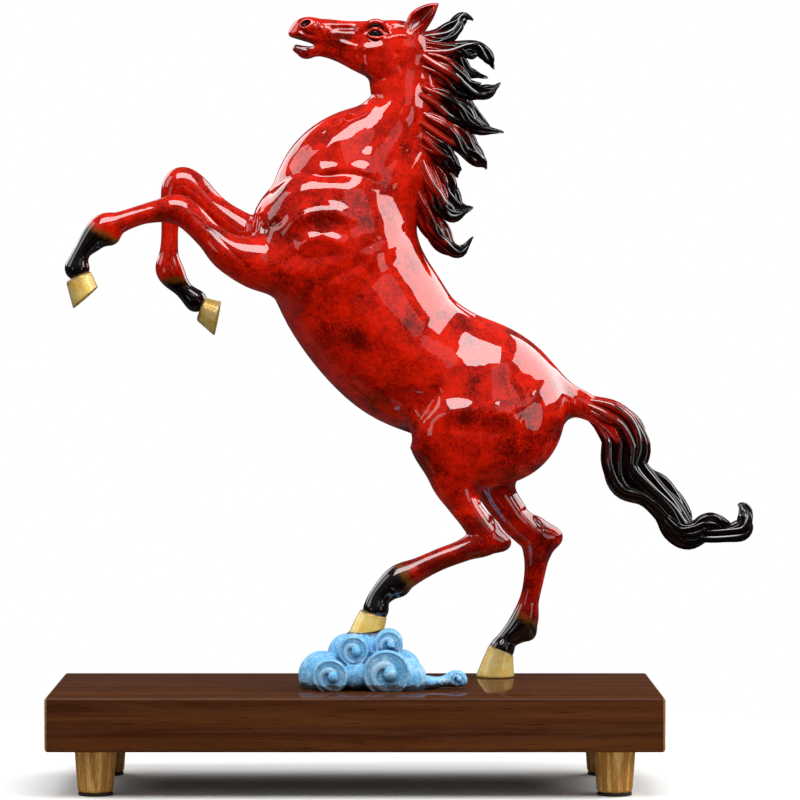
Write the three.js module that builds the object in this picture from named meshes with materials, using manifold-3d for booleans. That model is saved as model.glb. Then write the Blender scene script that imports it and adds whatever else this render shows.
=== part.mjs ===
// Rearing horse in lacquered cast copper on a wave of cloud, screwed to a walnut board with brass feet.
// Millimetres, +Z up. The floor under the rubber pads is z = 0 and the horse faces -X.

import * as THREE from 'three';
import { mergeVertices } from 'three/addons/utils/BufferGeometryUtils.js';
import { RoundedBoxGeometry } from 'three/addons/geometries/RoundedBoxGeometry.js';
import Module from 'manifold-3d';

const wasm = await Module();
wasm.setup();

// Board
const boardLength = 380;
const boardDepth = 160;
const boardThickness = 33.6;
const boardEdgeRadius = 2;

// Feet and their rubber pads
const footTopDiameter = 26;
const footBottomDiameter = 22;
const footHeight = 27.2;
const footFromEnd = 29.5;
const footFromSide = 28;
const footBoreFloor = 6;
const footSides = 16;
const padDiameter = 24;
const padThickness = 2;

// Wood screws that hold the feet and the cloud
const woodScrewDiameter = 4;
const woodScrewHeadDiameter = 8;
const woodScrewHeadHeight = 2.6;
const footScrewGrip = 16;
const cloudScrewGrip = 9;

// Machine screws and washers that hold the two standing hooves
const machineScrewDiameter = 4;
const machineScrewHeadDiameter = 7;
const machineScrewHeadHeight = 4;
const washerDiameter = 11;
const washerThickness = 1;
const machineScrewGrip = 5;
const hexSocket = 3;
const counterboreDepth = 9;

// Clearances
const fit = 0.3;
const seatGap = 0.2;
const hairGap = 0.5;
const counterboreClearance = 1;

// Horse: its place on the board, heights over the board's top and widths across it
const horseAcrossBoard = 24;
const headHeight = 409;
const throatHeight = headHeight - 35;
const chestHeight = 290;
const barrelHalfWidth = 38;
const neckHalfWidth = 14.5;
const shoulderHalfWidth = 32;
const headHalfWidth = 12.5;
const foreLegOffset = 22;
const hindHoofOffset = 30;
const pasternHalfWidth = 6.8;
const cannonHalfWidth = 6.6;
const eyeRadius = 4;
const eyeOffset = 9.6;
const eyeX = 12.7;
const eyeHeight = headHeight + 3.7;
const mouthLength = 25;
const mouthOpening = 3.8;
const mouthTilt = -14;

// Joints between the castings
const neckSpigotRadius = 8;
const neckSpigotLength = 12;
const legSpigotRadius = 5;
const legSpigotLength = 10;
const hoofSpigotRadius = 3.6;
const hoofSpigotLength = 5;
const tailSpigotRadius = 4;
const tailSpigotLength = 8;

// Facet sizes
const bodyCell = 12.6;
const headCell = 5;
const legCell = 6.4;

// Stack heights
const boardBottom = padThickness + footHeight;
const boardTop = boardBottom + boardThickness;

// Colours
const walnut = new THREE.MeshStandardMaterial({ color: '#4a2d1c', roughness: 0.3, metalness: 0 });
const brass = new THREE.MeshStandardMaterial({ color: '#d8b25a', roughness: 0.25, metalness: 1 });
const rubber = new THREE.MeshStandardMaterial({ color: '#2c201c', roughness: 0.8, metalness: 0 });
const steel = new THREE.MeshStandardMaterial({ color: '#a9adb0', roughness: 0.4, metalness: 1 });
const redLacquer = new THREE.MeshStandardMaterial({ color: '#c41208', roughness: 0.15, metalness: 0.2 });
const blackLacquer = new THREE.MeshStandardMaterial({ color: '#1a1110', roughness: 0.15, metalness: 0.2 });
const gilt = new THREE.MeshStandardMaterial({ color: '#e3c065', roughness: 0.3, metalness: 1 });
const blueEnamel = new THREE.MeshStandardMaterial({ color: '#79b4df', roughness: 0.5, metalness: 0 });
const blackGlass = new THREE.MeshStandardMaterial({ color: '#0b0b0c', roughness: 0.05, metalness: 0 });

// Solids

function closedMesh(geometry) {
  const bare = geometry.clone();
  bare.deleteAttribute('normal');
  bare.deleteAttribute('uv');
  return mergeVertices(bare, 1e-4);
}

function solidOf(geometry) {
  const mesh = closedMesh(geometry);
  return new wasm.Manifold(new wasm.Mesh({
    numProp: 3,
    vertProperties: new Float32Array(mesh.attributes.position.array),
    triVerts: new Uint32Array(mesh.index.array),
  }));
}

function geometryOf(solid) {
  const mesh = solid.getMesh();
  const geometry = new THREE.BufferGeometry();
  geometry.setAttribute('position', new THREE.BufferAttribute(new Float32Array(mesh.vertProperties), 3));
  geometry.setIndex(new THREE.BufferAttribute(new Uint32Array(mesh.triVerts), 1));
  geometry.computeVertexNormals();
  return geometry;
}

function joined(solids) {
  return solids.reduce((sum, solid) => sum.add(solid));
}

// A revolved solid standing on its origin along +Z, from [radius, height] points
function turned(profile, sides) {
  const lathe = new THREE.LatheGeometry(profile.map(([r, h]) => new THREE.Vector2(r, h)), sides);
  lathe.rotateX(Math.PI / 2);
  return lathe;
}

// A rod from one point along a direction
function rod(radius, from, direction, length, sides = 10) {
  const geometry = new THREE.CylinderGeometry(radius, radius, length, sides);
  geometry.translate(0, length / 2, 0);
  const turn = new THREE.Quaternion().setFromUnitVectors(new THREE.Vector3(0, 1, 0), direction);
  geometry.applyQuaternion(turn);
  geometry.translate(from.x, from.y, from.z);
  return solidOf(geometry);
}

// A prism across the horse over an outline in the side view, from [x, z] points
function sidePrism(outline, yFrom, yTo) {
  const shape = new THREE.Shape(outline.map(([x, z]) => new THREE.Vector2(x, z)));
  const geometry = new THREE.ExtrudeGeometry(shape, { depth: yTo - yFrom, bevelEnabled: false });
  geometry.rotateX(Math.PI / 2);
  geometry.translate(0, yTo, 0);
  return solidOf(geometry);
}

// A closed skin over rings of points that all have the same count
function loft(rings) {
  const count = rings[0].length;
  const positions = rings.flat().flatMap((p) => [p.x, p.y, p.z]);
  const faces = [];
  for (let r = 0; r + 1 < rings.length; r += 1) {
    for (let i = 0; i < count; i += 1) {
      const a = r * count + i;
      const b = r * count + ((i + 1) % count);
      faces.push(a, b, b + count, a, b + count, a + count);
    }
  }
  [0, rings.length - 1].forEach((r, end) => {
    const middle = new THREE.Vector3();
    rings[r].forEach((p) => middle.addScaledVector(p, 1 / count));
    const hub = positions.length / 3;
    positions.push(middle.x, middle.y, middle.z);
    for (let i = 0; i < count; i += 1) {
      const a = r * count + i;
      const b = r * count + ((i + 1) % count);
      faces.push(...(end === 0 ? [b, a, hub] : [a, b, hub]));
    }
  });
  const geometry = new THREE.BufferGeometry();
  geometry.setAttribute('position', new THREE.Float32BufferAttribute(positions, 3));
  geometry.setIndex(faces);
  const solid = solidOf(geometry);
  if (solid.volume() > 0) {
    return solid;
  }
  const turnedFaces = [];
  for (let i = 0; i < faces.length; i += 3) {
    turnedFaces.push(faces[i], faces[i + 2], faces[i + 1]);
  }
  geometry.setIndex(turnedFaces);
  return solidOf(geometry);
}

// Sculpt field: negative inside the horse. Stations are [x, y, z, radius, half width], with x from
// the board's middle, y from the horse's middle plane (near side negative) and z from the board's top.

const splineSteps = 4;
const farAway = 50;
const slopeProbe = 0.25;
const projectionSteps = 4;

function throughStations(stations, steps = splineSteps) {
  const points = [];
  const last = stations.length - 1;
  for (let i = 0; i < last; i += 1) {
    const before = stations[Math.max(i - 1, 0)];
    const after = stations[Math.min(i + 2, last)];
    for (let j = 0; j < steps; j += 1) {
      const t = j / steps;
      points.push(stations[i].map((start, axis) => {
        const end = stations[i + 1][axis];
        const slope = end - before[axis];
        const bend = 2 * before[axis] - 5 * start + 4 * end - after[axis];
        const turn = 3 * start - before[axis] - 3 * end + after[axis];
        return start + 0.5 * (slope * t + bend * t * t + turn * t * t * t);
      }));
    }
  }
  points.push(stations[last]);
  return points;
}

function blended(a, b, width) {
  const near = Math.max(width - Math.abs(a - b), 0);
  return Math.min(a, b) - (width > 0 ? (near * near) / (4 * width) : 0);
}

function limbDistance(points, x, y, z) {
  let nearest = Infinity;
  for (let i = 0; i + 1 < points.length; i += 1) {
    const [ax, ay, az, ar, aw] = points[i];
    const [bx, by, bz, br, bw] = points[i + 1];
    const dx = bx - ax;
    const dy = by - ay;
    const dz = bz - az;
    const along = ((x - ax) * dx + (y - ay) * dy + (z - az) * dz) / (dx * dx + dy * dy + dz * dz);
    const t = Math.min(Math.max(along, 0), 1);
    const radius = ar + t * (br - ar);
    const flat = (aw + t * (bw - aw)) / radius;
    const reach = Math.hypot(x - ax - t * dx, (y - ay - t * dy) / flat, z - az - t * dz) - radius;
    nearest = Math.min(nearest, reach * Math.min(1, flat));
  }
  return nearest;
}

function limb(blend, stations) {
  const points = throughStations(stations);
  const margin = Math.max(...points.map((p) => Math.max(p[3], p[4]))) + Math.max(blend, 4) + 2;
  return {
    blend,
    low: [0, 1, 2].map((axis) => Math.min(...points.map((p) => p[axis])) - margin),
    high: [0, 1, 2].map((axis) => Math.max(...points.map((p) => p[axis])) + margin),
    distance: (x, y, z) => limbDistance(points, x, y, z),
  };
}

// A muscle is an ellipsoid: centre, three radii, tilt in the side view in degrees, blend width
function muscle([cx, cy, cz], [rx, ry, rz], tilt, blend) {
  const cosine = Math.cos(THREE.MathUtils.degToRad(tilt));
  const sine = Math.sin(THREE.MathUtils.degToRad(tilt));
  const margin = Math.max(rx, rz) + blend + 3;
  const side = ry + blend + 3;
  return {
    blend,
    low: [cx - margin, cy - side, cz - margin],
    high: [cx + margin, cy + side, cz + margin],
    distance: (x, y, z) => {
      const u = ((x - cx) * cosine + (z - cz) * sine) / rx;
      const v = (y - cy) / ry;
      const w = ((z - cz) * cosine - (x - cx) * sine) / rz;
      const n = Math.hypot(u, v, w) + 1e-9;
      return (n * (n - 1)) / (Math.hypot(u / rx, v / ry, w / rz) + 1e-9);
    },
  };
}

function pair(centre, radii, tilt, blend) {
  const [x, y, z] = centre;
  return [muscle([x, -y, z], radii, tilt, blend), muscle([x, y, z], radii, tilt, blend)];
}

const nearFore = -foreLegOffset;
const farFore = foreLegOffset - 1;
const nearHind = -hindHoofOffset;
const farHind = hindHoofOffset;

const barrel = limb(0, [
  [-24, 0, chestHeight - 10, 39, shoulderHalfWidth],
  [2, 0, chestHeight - 44, 48.5, barrelHalfWidth - 1],
  [28, 0, 213, 46.5, barrelHalfWidth],
  [57, 0, 196, 43, barrelHalfWidth - 2],
  [88, 0, 182, 42, barrelHalfWidth - 2],
  [104, 0, 178, 31, 30],
]);

const neck = limb(14, [
  [30, 0, headHeight - 6, 16, neckHalfWidth - 1],
  [29, 0, headHeight - 25, 20, neckHalfWidth],
  [29.5, 0, headHeight - 42, 19.5, neckHalfWidth + 2],
  [20, 0, chestHeight + 57, 27, 19],
  [8, 0, chestHeight + 37, 38, 24],
  [-3, 0, chestHeight + 20, 44, 29],
  [-10, 0, chestHeight, 45, shoulderHalfWidth],
]);

const skull = limb(6, [
  [-34.6, 0, headHeight + 6, 7.2, 8.4],
  [-22, 0, headHeight + 4.8, 9.2, 8],
  [-5, 0, headHeight + 2.4, 10.2, 8.4],
  [10, 0, headHeight, 12.6, 11.5],
  [24, 0, headHeight - 2.6, 15.2, headHalfWidth],
  [34, 0, headHeight - 6, 14, 11],
]);

const jaw = limb(3, [
  [-37.5, 0, headHeight - 5.2, 2.8, 5],
  [-31, 0, headHeight - 7, 4, 6],
  [-22, 0, headHeight - 5.7, 4.6, 5.5],
  [-10, 0, headHeight - 7, 6.8, 7],
  [4, 0, headHeight - 10, 10.6, 9],
  [15, 0, headHeight - 13, 12.6, 10],
]);

const nearForeLimb = limb(9, [
  [-44, nearFore + 4, chestHeight - 22, 23, 16],
  [-62, nearFore + 1, chestHeight - 23, 17, 14],
  [-80, nearFore - 1, chestHeight - 17, 12, 11.5],
  [-92, nearFore - 1, chestHeight - 6.5, 9, 9.2],
  [-104, nearFore - 1, chestHeight + 5.5, 9.2, 9.3],
  [-113, nearFore - 1, chestHeight + 10.5, 9.6, 9.5],
  [-125, nearFore - 0.5, chestHeight + 9.5, 7.2, 7.4],
  [-140, nearFore, chestHeight + 5.5, 6.5, cannonHalfWidth],
  [-150, nearFore, chestHeight + 2, 7, cannonHalfWidth],
  [-160.5, nearFore, chestHeight - 2.5, 9.4, 8.4],
  [-172.5, nearFore, chestHeight - 16.5, 6, pasternHalfWidth],
  [-176, nearFore, chestHeight - 26.5, 8, 8.6],
]);

const farForeLimb = limb(9, [
  [-40, farFore - 3, chestHeight - 12, 22, 16],
  [-62, farFore - 1, chestHeight - 8, 14, 13],
  [-78, farFore, chestHeight + 1, 11.4, 11],
  [-92, farFore, chestHeight + 12, 9.8, 9.5],
  [-106, farFore, chestHeight + 26, 10.4, 9.5],
  [-113.5, farFore, chestHeight + 27.5, 10.6, 9.5],
  [-118, farFore, chestHeight + 16, 7.6, 8],
  [-119.3, farFore, chestHeight + 3, 5.8, cannonHalfWidth],
  [-119.8, farFore, chestHeight - 10, 5.7, 6.2],
  [-120.3, farFore, chestHeight - 19, 6.6, cannonHalfWidth],
  [-119.4, farFore, chestHeight - 28, 9, 8.4],
  [-111, farFore, chestHeight - 39.5, 5.8, pasternHalfWidth],
  [-103, farFore, chestHeight - 47, 7.4, 8],
]);

const nearHindLimb = limb(8, [
  [66, nearHind + 10, 152, 24, 15],
  [61.5, nearHind + 8, 132, 15, 13],
  [68, nearHind + 7, 116, 10.6, 10.5],
  [75.5, nearHind + 6, 104.5, 9.4, 9.5],
  [83, nearHind + 5, 93.5, 10.6, 9.5],
  [70, nearHind + 4, 86, 7.4, 7.4],
  [54, nearHind + 3, 79.8, 6.9, cannonHalfWidth],
  [40, nearHind + 2, 73.4, 7.5, cannonHalfWidth],
  [28, nearHind + 1, 66.6, 9.4, 8.6],
  [16.5, nearHind, 56.5, 6.6, pasternHalfWidth],
  [13, nearHind, 48.5, 8.2, 8.8],
]);

const farHindLimb = limb(8, [
  [80, farHind - 10, 152, 24, 15],
  [88, farHind - 8, 129, 15, 13],
  [98, farHind - 7, 110, 11.4, 10.5],
  [107, farHind - 5, 98, 10.4, 9.5],
  [117, farHind - 4, 90, 11.6, 9.5],
  [116.6, farHind - 3, 76, 7.9, 7.4],
  [114.8, farHind - 2, 62, 6.5, cannonHalfWidth],
  [112, farHind - 1, 49, 6.5, cannonHalfWidth],
  [108, farHind, 34, 9.2, 8.6],
  [98.5, farHind, 24.5, 6.6, pasternHalfWidth],
  [94.5, farHind, 18, 8.2, 8.8],
]);

const tailDock = limb(9, [
  [120, 0, 181, 15, 12],
  [135, 0, 179.5, 10.5, 8.5],
  [147, 0, 175.5, 8.4, 7.6],
]);

const forms = [
  barrel, neck, skull, jaw, nearForeLimb, farForeLimb, nearHindLimb, farHindLimb, tailDock,
  ...pair([-36, 9, chestHeight + 2], [26, 18, 22], 0, 12),
  ...pair([-16, 2, chestHeight + 41], [35, 22, 21], 42, 10),
  ...pair([-12, 20, chestHeight + 1], [40, 16, 30], -35, 10),
  ...pair([-14, 24, chestHeight - 25], [34, 13, 20], 20, 10),
  ...pair([85, 18, 165.5], [45.5, 23, 40], 0, 12),
  ...pair([58, 21, 160], [23.5, 16, 27], 20, 10),
  ...pair([88, 12, 202], [32, 22, 20], -34, 12),
  ...pair([17, 7.5, headHeight - 12], [14, 5.6, 13], 0, 3),
  ...pair([-29, 4.6, headHeight + 9], [8, 5.2, 5.6], -12, 4),
  muscle([92.5, nearHind + 5, 90.2], [6.2, 6, 5.8], 0, 5),
  muscle([127, farHind - 4, 90.5], [6.8, 6, 6.4], 0, 5),
  muscle([-154.5, nearFore, chestHeight - 6.5], [5.5, 5.5, 5.5], 0, 4),
];

const mouth = muscle([-38, 0, headHeight - 0.4], [mouthLength / 2, 14, mouthOpening / 2], mouthTilt, 1);

function within(form, x, y, z) {
  return x > form.low[0] && x < form.high[0] && y > form.low[1] && y < form.high[1]
    && z > form.low[2] && z < form.high[2];
}

function horseField(x, y, z) {
  let distance = farAway;
  for (const form of forms) {
    if (within(form, x, y, z)) {
      distance = blended(distance, form.distance(x, y, z), form.blend);
    }
  }
  if (within(mouth, x, y, z)) {
    distance = -blended(-distance, mouth.distance(x, y, z), mouth.blend);
  }
  return distance;
}

// Facets a field inside a box: one vertex for each sheet of surface in a cell, moved onto the surface

const axes = [0, 1, 2];

// The twelve edges of a cell by axis, then the four faces' edges in turn round each face
const cellEdges = axes.flatMap((axis) => [0, 1, 2, 3].map((n) => {
  const start = [0, 0, 0];
  start[(axis + 1) % 3] = n % 2;
  start[(axis + 2) % 3] = Math.floor(n / 2);
  const end = [...start];
  end[axis] = 1;
  return [start, end];
}));

const cellFaces = axes.flatMap((axis) => [0, 1].map((side) => {
  const u = (axis + 1) % 3;
  const w = (axis + 2) % 3;
  const corners = [[0, 0], [1, 0], [1, 1], [0, 1]].map(([atU, atW]) => {
    const corner = [0, 0, 0];
    corner[axis] = side;
    corner[u] = atU;
    corner[w] = atW;
    return corner;
  });
  return { corners, edges: [4 * u + 2 * side, 4 * w + side + 2, 4 * u + 2 * side + 1, 4 * w + side] };
}));

function skinOf(field, low, high, cell) {
  const counts = low.map((start, axis) => Math.ceil((high[axis] - start) / cell) + 1);
  const boxed = (p) => Math.max(field(...p), ...axes.map((axis) => Math.max(
    low[axis] + cell / 2 - p[axis],
    p[axis] - low[axis] - (counts[axis] - 1.5) * cell,
  )));
  const at = (p) => (p[0] * counts[1] + p[1]) * counts[2] + p[2];
  const shifted = (p, q) => [p[0] + q[0], p[1] + q[1], p[2] + q[2]];
  const everyPoint = (first, lastGap, visit) => {
    for (let i = first[0]; i < counts[0] - lastGap; i += 1) {
      for (let j = first[1]; j < counts[1] - lastGap; j += 1) {
        for (let k = first[2]; k < counts[2] - lastGap; k += 1) {
          visit([i, j, k]);
        }
      }
    }
  };
  const values = new Float64Array(counts[0] * counts[1] * counts[2]);
  everyPoint([0, 0, 0], 0, (p) => {
    values[at(p)] = boxed(p.map((index, axis) => low[axis] + index * cell));
  });

  const positions = [];
  const vertexOf = new Map();
  everyPoint([0, 0, 0], 1, (origin) => {
    const valueAt = (corner) => values[at(shifted(origin, corner))];
    const crossed = cellEdges.map(([a, b]) => (valueAt(a) < 0) !== (valueAt(b) < 0));
    if (!crossed.includes(true)) {
      return;
    }
    const sheet = cellEdges.map((_, n) => n);
    const link = (a, b) => {
      const [from, to] = [sheet[a], sheet[b]];
      sheet.forEach((value, n) => {
        sheet[n] = value === from ? to : value;
      });
    };
    cellFaces.forEach(({ corners, edges }) => {
      const cut = edges.filter((edge) => crossed[edge]);
      if (cut.length === 2) {
        link(cut[0], cut[1]);
      } else if (cut.length === 4) {
        const v = corners.map(valueAt);
        const saddle = (v[0] * v[2] - v[1] * v[3]) / (v[0] + v[2] - v[1] - v[3]);
        const roundFirst = (v[0] < 0) !== (saddle < 0);
        link(edges[roundFirst ? 3 : 0], edges[roundFirst ? 0 : 1]);
        link(edges[roundFirst ? 1 : 2], edges[roundFirst ? 2 : 3]);
      }
    });
    new Set(sheet.filter((_, n) => crossed[n])).forEach((name) => {
      const members = cellEdges.map((_, n) => n).filter((n) => crossed[n] && sheet[n] === name);
      let p = axes.map((axis) => {
        const reach = members.map((n) => {
          const [a, b] = cellEdges[n];
          const t = valueAt(a) / (valueAt(a) - valueAt(b));
          return a[axis] + t * (b[axis] - a[axis]);
        });
        return low[axis] + (origin[axis] + reach.reduce((sum, r) => sum + r) / reach.length) * cell;
      });
      for (let step = 0; step < projectionSteps; step += 1) {
        const slope = axes.map((axis) => {
          const ahead = [...p];
          const behind = [...p];
          ahead[axis] += slopeProbe;
          behind[axis] -= slopeProbe;
          return (boxed(ahead) - boxed(behind)) / (2 * slopeProbe);
        });
        const move = boxed(p) / Math.max(Math.hypot(...slope) ** 2, 0.05);
        const limited = Math.min(Math.max(move, -cell / 4), cell / 4);
        p = p.map((value, axis) => value - limited * slope[axis]);
      }
      members.forEach((n) => vertexOf.set(at(origin) * 12 + n, positions.length / 3));
      positions.push(...p);
    });
  });

  const faces = [];
  const span = (p, q) => Math.hypot(...axes.map((n) => positions[3 * p + n] - positions[3 * q + n]));
  axes.forEach((axis) => {
    const first = [1, 1, 1];
    first[axis] = 0;
    const step = [0, 0, 0];
    step[axis] = 1;
    everyPoint(first, 1, (p) => {
      const inside = values[at(p)] < 0;
      if (inside === (values[at(shifted(p, step))] < 0)) {
        return;
      }
      const ring = [[1, 1], [0, 1], [0, 0], [1, 0]].map(([atU, atW]) => {
        const origin = [...p];
        origin[(axis + 1) % 3] -= atU;
        origin[(axis + 2) % 3] -= atW;
        return vertexOf.get(at(origin) * 12 + 4 * axis + atU + 2 * atW);
      });
      const [q, r, s, t] = inside ? ring : ring.reverse();
      faces.push(...(span(q, s) < span(r, t) ? [q, r, s, q, s, t] : [q, r, t, r, s, t]));
    });
  });
  const geometry = new THREE.BufferGeometry();
  geometry.setAttribute('position', new THREE.Float32BufferAttribute(positions, 3));
  geometry.setIndex(faces);
  return solidOf(geometry);
}

// Seams between the castings: the side-view region that belongs to the smaller casting, and its spigot

const foreSeamX = -70;
const foreSeamRegion = [
  [foreSeamX, chestHeight - 90], [foreSeamX, chestHeight + 60],
  [foreSeamX - 140, chestHeight + 60], [foreSeamX - 140, chestHeight - 90],
];

const seams = {
  head: {
    region: [[-70, throatHeight], [70, throatHeight], [70, throatHeight + 76], [-70, throatHeight + 76]],
    across: [-60, 60],
    centre: new THREE.Vector3(29, 0, throatHeight),
    inward: new THREE.Vector3(0, 0, -1),
    spigot: [neckSpigotRadius, neckSpigotLength],
  },
  nearFore: {
    region: foreSeamRegion,
    across: [-60, 0],
    centre: new THREE.Vector3(foreSeamX, nearFore, chestHeight - 22),
    inward: new THREE.Vector3(1, 0, 0),
    spigot: [legSpigotRadius, legSpigotLength],
  },
  farFore: {
    region: foreSeamRegion,
    across: [0, 60],
    centre: new THREE.Vector3(foreSeamX, farFore, chestHeight - 4),
    inward: new THREE.Vector3(1, 0, 0),
    spigot: [legSpigotRadius, legSpigotLength],
  },
  nearHind: {
    region: [[40, 95.7], [84, 120.5], [86, 112], [125, 104], [125, 20], [-25, 20], [-25, 95.7]],
    across: [-60, 0],
    centre: new THREE.Vector3(69.5, nearHind + 7, 112.3),
    inward: new THREE.Vector3(-0.4911, 0, 0.8711),
    spigot: [legSpigotRadius, legSpigotLength],
  },
  farHind: {
    region: [[67, 105.3], [110, 128], [112, 118], [150, 110], [150, -5], [50, -5], [50, 96.3]],
    across: [0, 60],
    centre: new THREE.Vector3(92.5, farHind - 7, 118.8),
    inward: new THREE.Vector3(-0.4668, 0, 0.8844),
    spigot: [legSpigotRadius, legSpigotLength],
  },
  tail: {
    region: [[145.2, 195], [137.9, 162], [137.9, 60], [270, 60], [270, 195]],
    across: [-60, 60],
    centre: new THREE.Vector3(141.4, 0, 177.6),
    inward: new THREE.Vector3(-0.9764, 0, 0.216),
    spigot: [tailSpigotRadius, tailSpigotLength],
  },
};

function seamSolid(seam, shift) {
  const { x, z } = seam.inward.clone().multiplyScalar(shift);
  return sidePrism(seam.region, ...seam.across).translate(x, 0, z);
}

function seamSpigot(seam) {
  const [radius, length] = seam.spigot;
  const start = seam.centre.clone().addScaledVector(seam.inward, -length / 2);
  return rod(radius, start, seam.inward, length * 1.5);
}

function seamSocket(seam) {
  const [radius, length] = seam.spigot;
  const start = seam.centre.clone().addScaledVector(seam.inward, -length / 4);
  return rod(radius + fit, start, seam.inward, length * 1.25 + fit);
}

function cutAtSeam(solid, seam) {
  return solid.intersect(seamSolid(seam, -fit / 2)).add(seamSpigot(seam));
}

// Hooves: a coronet ring on the pastern and a sole ring, each with its toe direction in the side view

const hoofSides = 14;
const hoofs = {
  nearFore: {
    y: nearFore, coronet: [-174.7, chestHeight - 31.8], coronetToe: [-0.91, -0.41], top: [9.1, 8.8],
    sole: [-170.2, chestHeight - 44.8], soleToe: [-0.751, -0.66], bottom: [11, 10.5],
  },
  farFore: {
    y: farFore, coronet: [-99.3, chestHeight - 52], coronetToe: [-0.33, -0.944], top: [8.5, 8.4],
    sole: [-88.7, chestHeight - 57.8], soleToe: [-0.19, -0.982], bottom: [12, 10.5],
  },
  nearHind: {
    y: nearHind, coronet: [12, 45.5], coronetToe: [-0.963, 0.268], top: [9.3, 9.2],
    sole: [7.5, 34.3], soleToe: [-0.99, -0.14], bottom: [12.2, 11.5],
  },
  farHind: {
    y: farHind, coronet: [94.6, 17.6], coronetToe: [-0.913, 0.408], top: [8.9, 9.2],
    sole: [90.8, seatGap], soleToe: [-1, 0], bottom: [13.2, 12],
  },
};

const heelFlatness = 0.88;

function hoofRing(hoof, down, grow = 0) {
  const mix = (a, b) => a + down * (b - a);
  const centre = [0, 1].map((n) => mix(hoof.coronet[n], hoof.sole[n]));
  const toe = new THREE.Vector2(...[0, 1].map((n) => mix(hoof.coronetToe[n], hoof.soleToe[n]))).normalize();
  const halfLength = mix(hoof.top[0], hoof.bottom[0]) + grow;
  const halfWidth = mix(hoof.top[1], hoof.bottom[1]) + grow;
  return Array.from({ length: hoofSides }, (_, i) => {
    const angle = (i / hoofSides) * 2 * Math.PI;
    const reach = halfLength * Math.cos(angle) * (Math.cos(angle) < 0 ? heelFlatness : 1);
    return new THREE.Vector3(
      centre[0] + toe.x * reach,
      hoof.y + halfWidth * Math.sin(angle),
      centre[1] + toe.y * reach,
    );
  });
}

function coronetDirection(hoof) {
  const along = new THREE.Vector3(-hoof.coronetToe[1], 0, hoof.coronetToe[0]).normalize();
  const down = new THREE.Vector3(hoof.sole[0] - hoof.coronet[0], 0, hoof.sole[1] - hoof.coronet[1]);
  return along.dot(down) > 0 ? along : along.negate();
}

function coronetPoint(hoof) {
  return new THREE.Vector3(hoof.coronet[0], hoof.y, hoof.coronet[1]);
}

function hoofSolid(hoof) {
  const start = coronetPoint(hoof).addScaledVector(coronetDirection(hoof), -1);
  const socket = rod(hoofSpigotRadius + fit, start, coronetDirection(hoof), hoofSpigotLength + 1 + fit);
  return loft([0, 0.5, 1].map((down) => hoofRing(hoof, down))).subtract(socket);
}

// The leg ends square at the coronet, with a spigot into the hoof
function endedAtHoof(leg, hoof) {
  const down = coronetDirection(hoof);
  const seat = coronetPoint(hoof).addScaledVector(down, -fit);
  const start = coronetPoint(hoof).addScaledVector(down, -hoofSpigotLength);
  const beyond = rod(40, seat, down, 40, 8);
  return leg.subtract(beyond).add(rod(hoofSpigotRadius, start, down, 2 * hoofSpigotLength));
}

// A lock of hair is a fluted taper along stations of [x, y, z, radius, half width]

const lockSides = 6;
const fluteDepth = 0.2;

function lock(stations, steps, flute = fluteDepth, turn = 0) {
  const points = throughStations(stations, steps);
  const rings = points.map((p, n) => {
    const before = points[Math.max(n - 1, 0)];
    const after = points[Math.min(n + 1, points.length - 1)];
    const run = new THREE.Vector3(after[0] - before[0], after[1] - before[1], after[2] - before[2]);
    run.normalize();
    const rise = new THREE.Vector3(0, 1, 0).cross(run).normalize();
    const across = run.clone().cross(rise);
    return Array.from({ length: lockSides }, (_, i) => {
      const angle = (i / lockSides) * 2 * Math.PI + turn;
      const depth = i % 2 === 0 ? 1 : 1 - flute;
      return new THREE.Vector3(p[0], p[1], p[2])
        .addScaledVector(rise, p[3] * depth * Math.cos(angle))
        .addScaledVector(across, p[4] * depth * Math.sin(angle));
    });
  });
  return loft(rings);
}

// Body, head and legs

const eyeCentres = [-1, 1].map((side) => new THREE.Vector3(eyeX, side * eyeOffset, eyeHeight));
const bodyBox = [[-84, -58, 92], [160, 58, throatHeight + 10]];
const headBox = [[-54, -22, throatHeight - 12], [54, 22, headHeight + 19]];

function ball(radius, centre, segments = 10) {
  const geometry = new THREE.SphereGeometry(radius, segments, Math.ceil(segments * 0.7));
  geometry.rotateX(Math.PI / 2);
  geometry.translate(centre.x, centre.y, centre.z);
  return solidOf(geometry);
}

function ear(side) {
  const shell = lock([
    [35, side * 6, headHeight - 3, 6, 4.6], [40.5, side * 8.2, headHeight + 11, 6.4, 3.8],
    [46.8, side * 9.5, headHeight + 18.8, 4.6, 2.8], [53, side * 10, headHeight + 24, 0.8, 0.8],
  ], 2, 0);
  const hollow = lock([
    [38.5, side * 10.5, headHeight + 5, 2, 2], [40.5, side * 11, headHeight + 11, 4, 3],
    [46, side * 11.4, headHeight + 18, 2.8, 2.4], [49.6, side * 11.4, headHeight + 21, 0.8, 0.8],
  ], 1, 0);
  return shell.subtract(hollow);
}

const bodySkin = skinOf(horseField, ...bodyBox, bodyCell);
const headSkin = skinOf(horseField, ...headBox, headCell);

const body = Object.values(seams).reduce(
  (solid, seam) => solid.subtract(seamSolid(seam, fit / 2)).subtract(seamSocket(seam)),
  bodySkin,
);

const head = eyeCentres.reduce(
  (solid, centre) => solid.subtract(ball(eyeRadius + fit, centre)),
  cutAtSeam(headSkin, seams.head).add(ear(-1)).add(ear(1)),
);

const legs = {
  nearFore: cutAtSeam(
    skinOf(horseField, [-200, -46, chestHeight - 50], [-58, 4, chestHeight + 32], legCell), seams.nearFore),
  farFore: cutAtSeam(
    skinOf(horseField, [-140, -4, chestHeight - 68], [-58, 46, chestHeight + 50], legCell), seams.farFore),
  nearHind: cutAtSeam(skinOf(horseField, [-10, -50, 30], [112, 0, 134], legCell), seams.nearHind),
  farHind: cutAtSeam(skinOf(horseField, [72, 0, 2], [146, 52, 140], legCell), seams.farHind),
};

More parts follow.
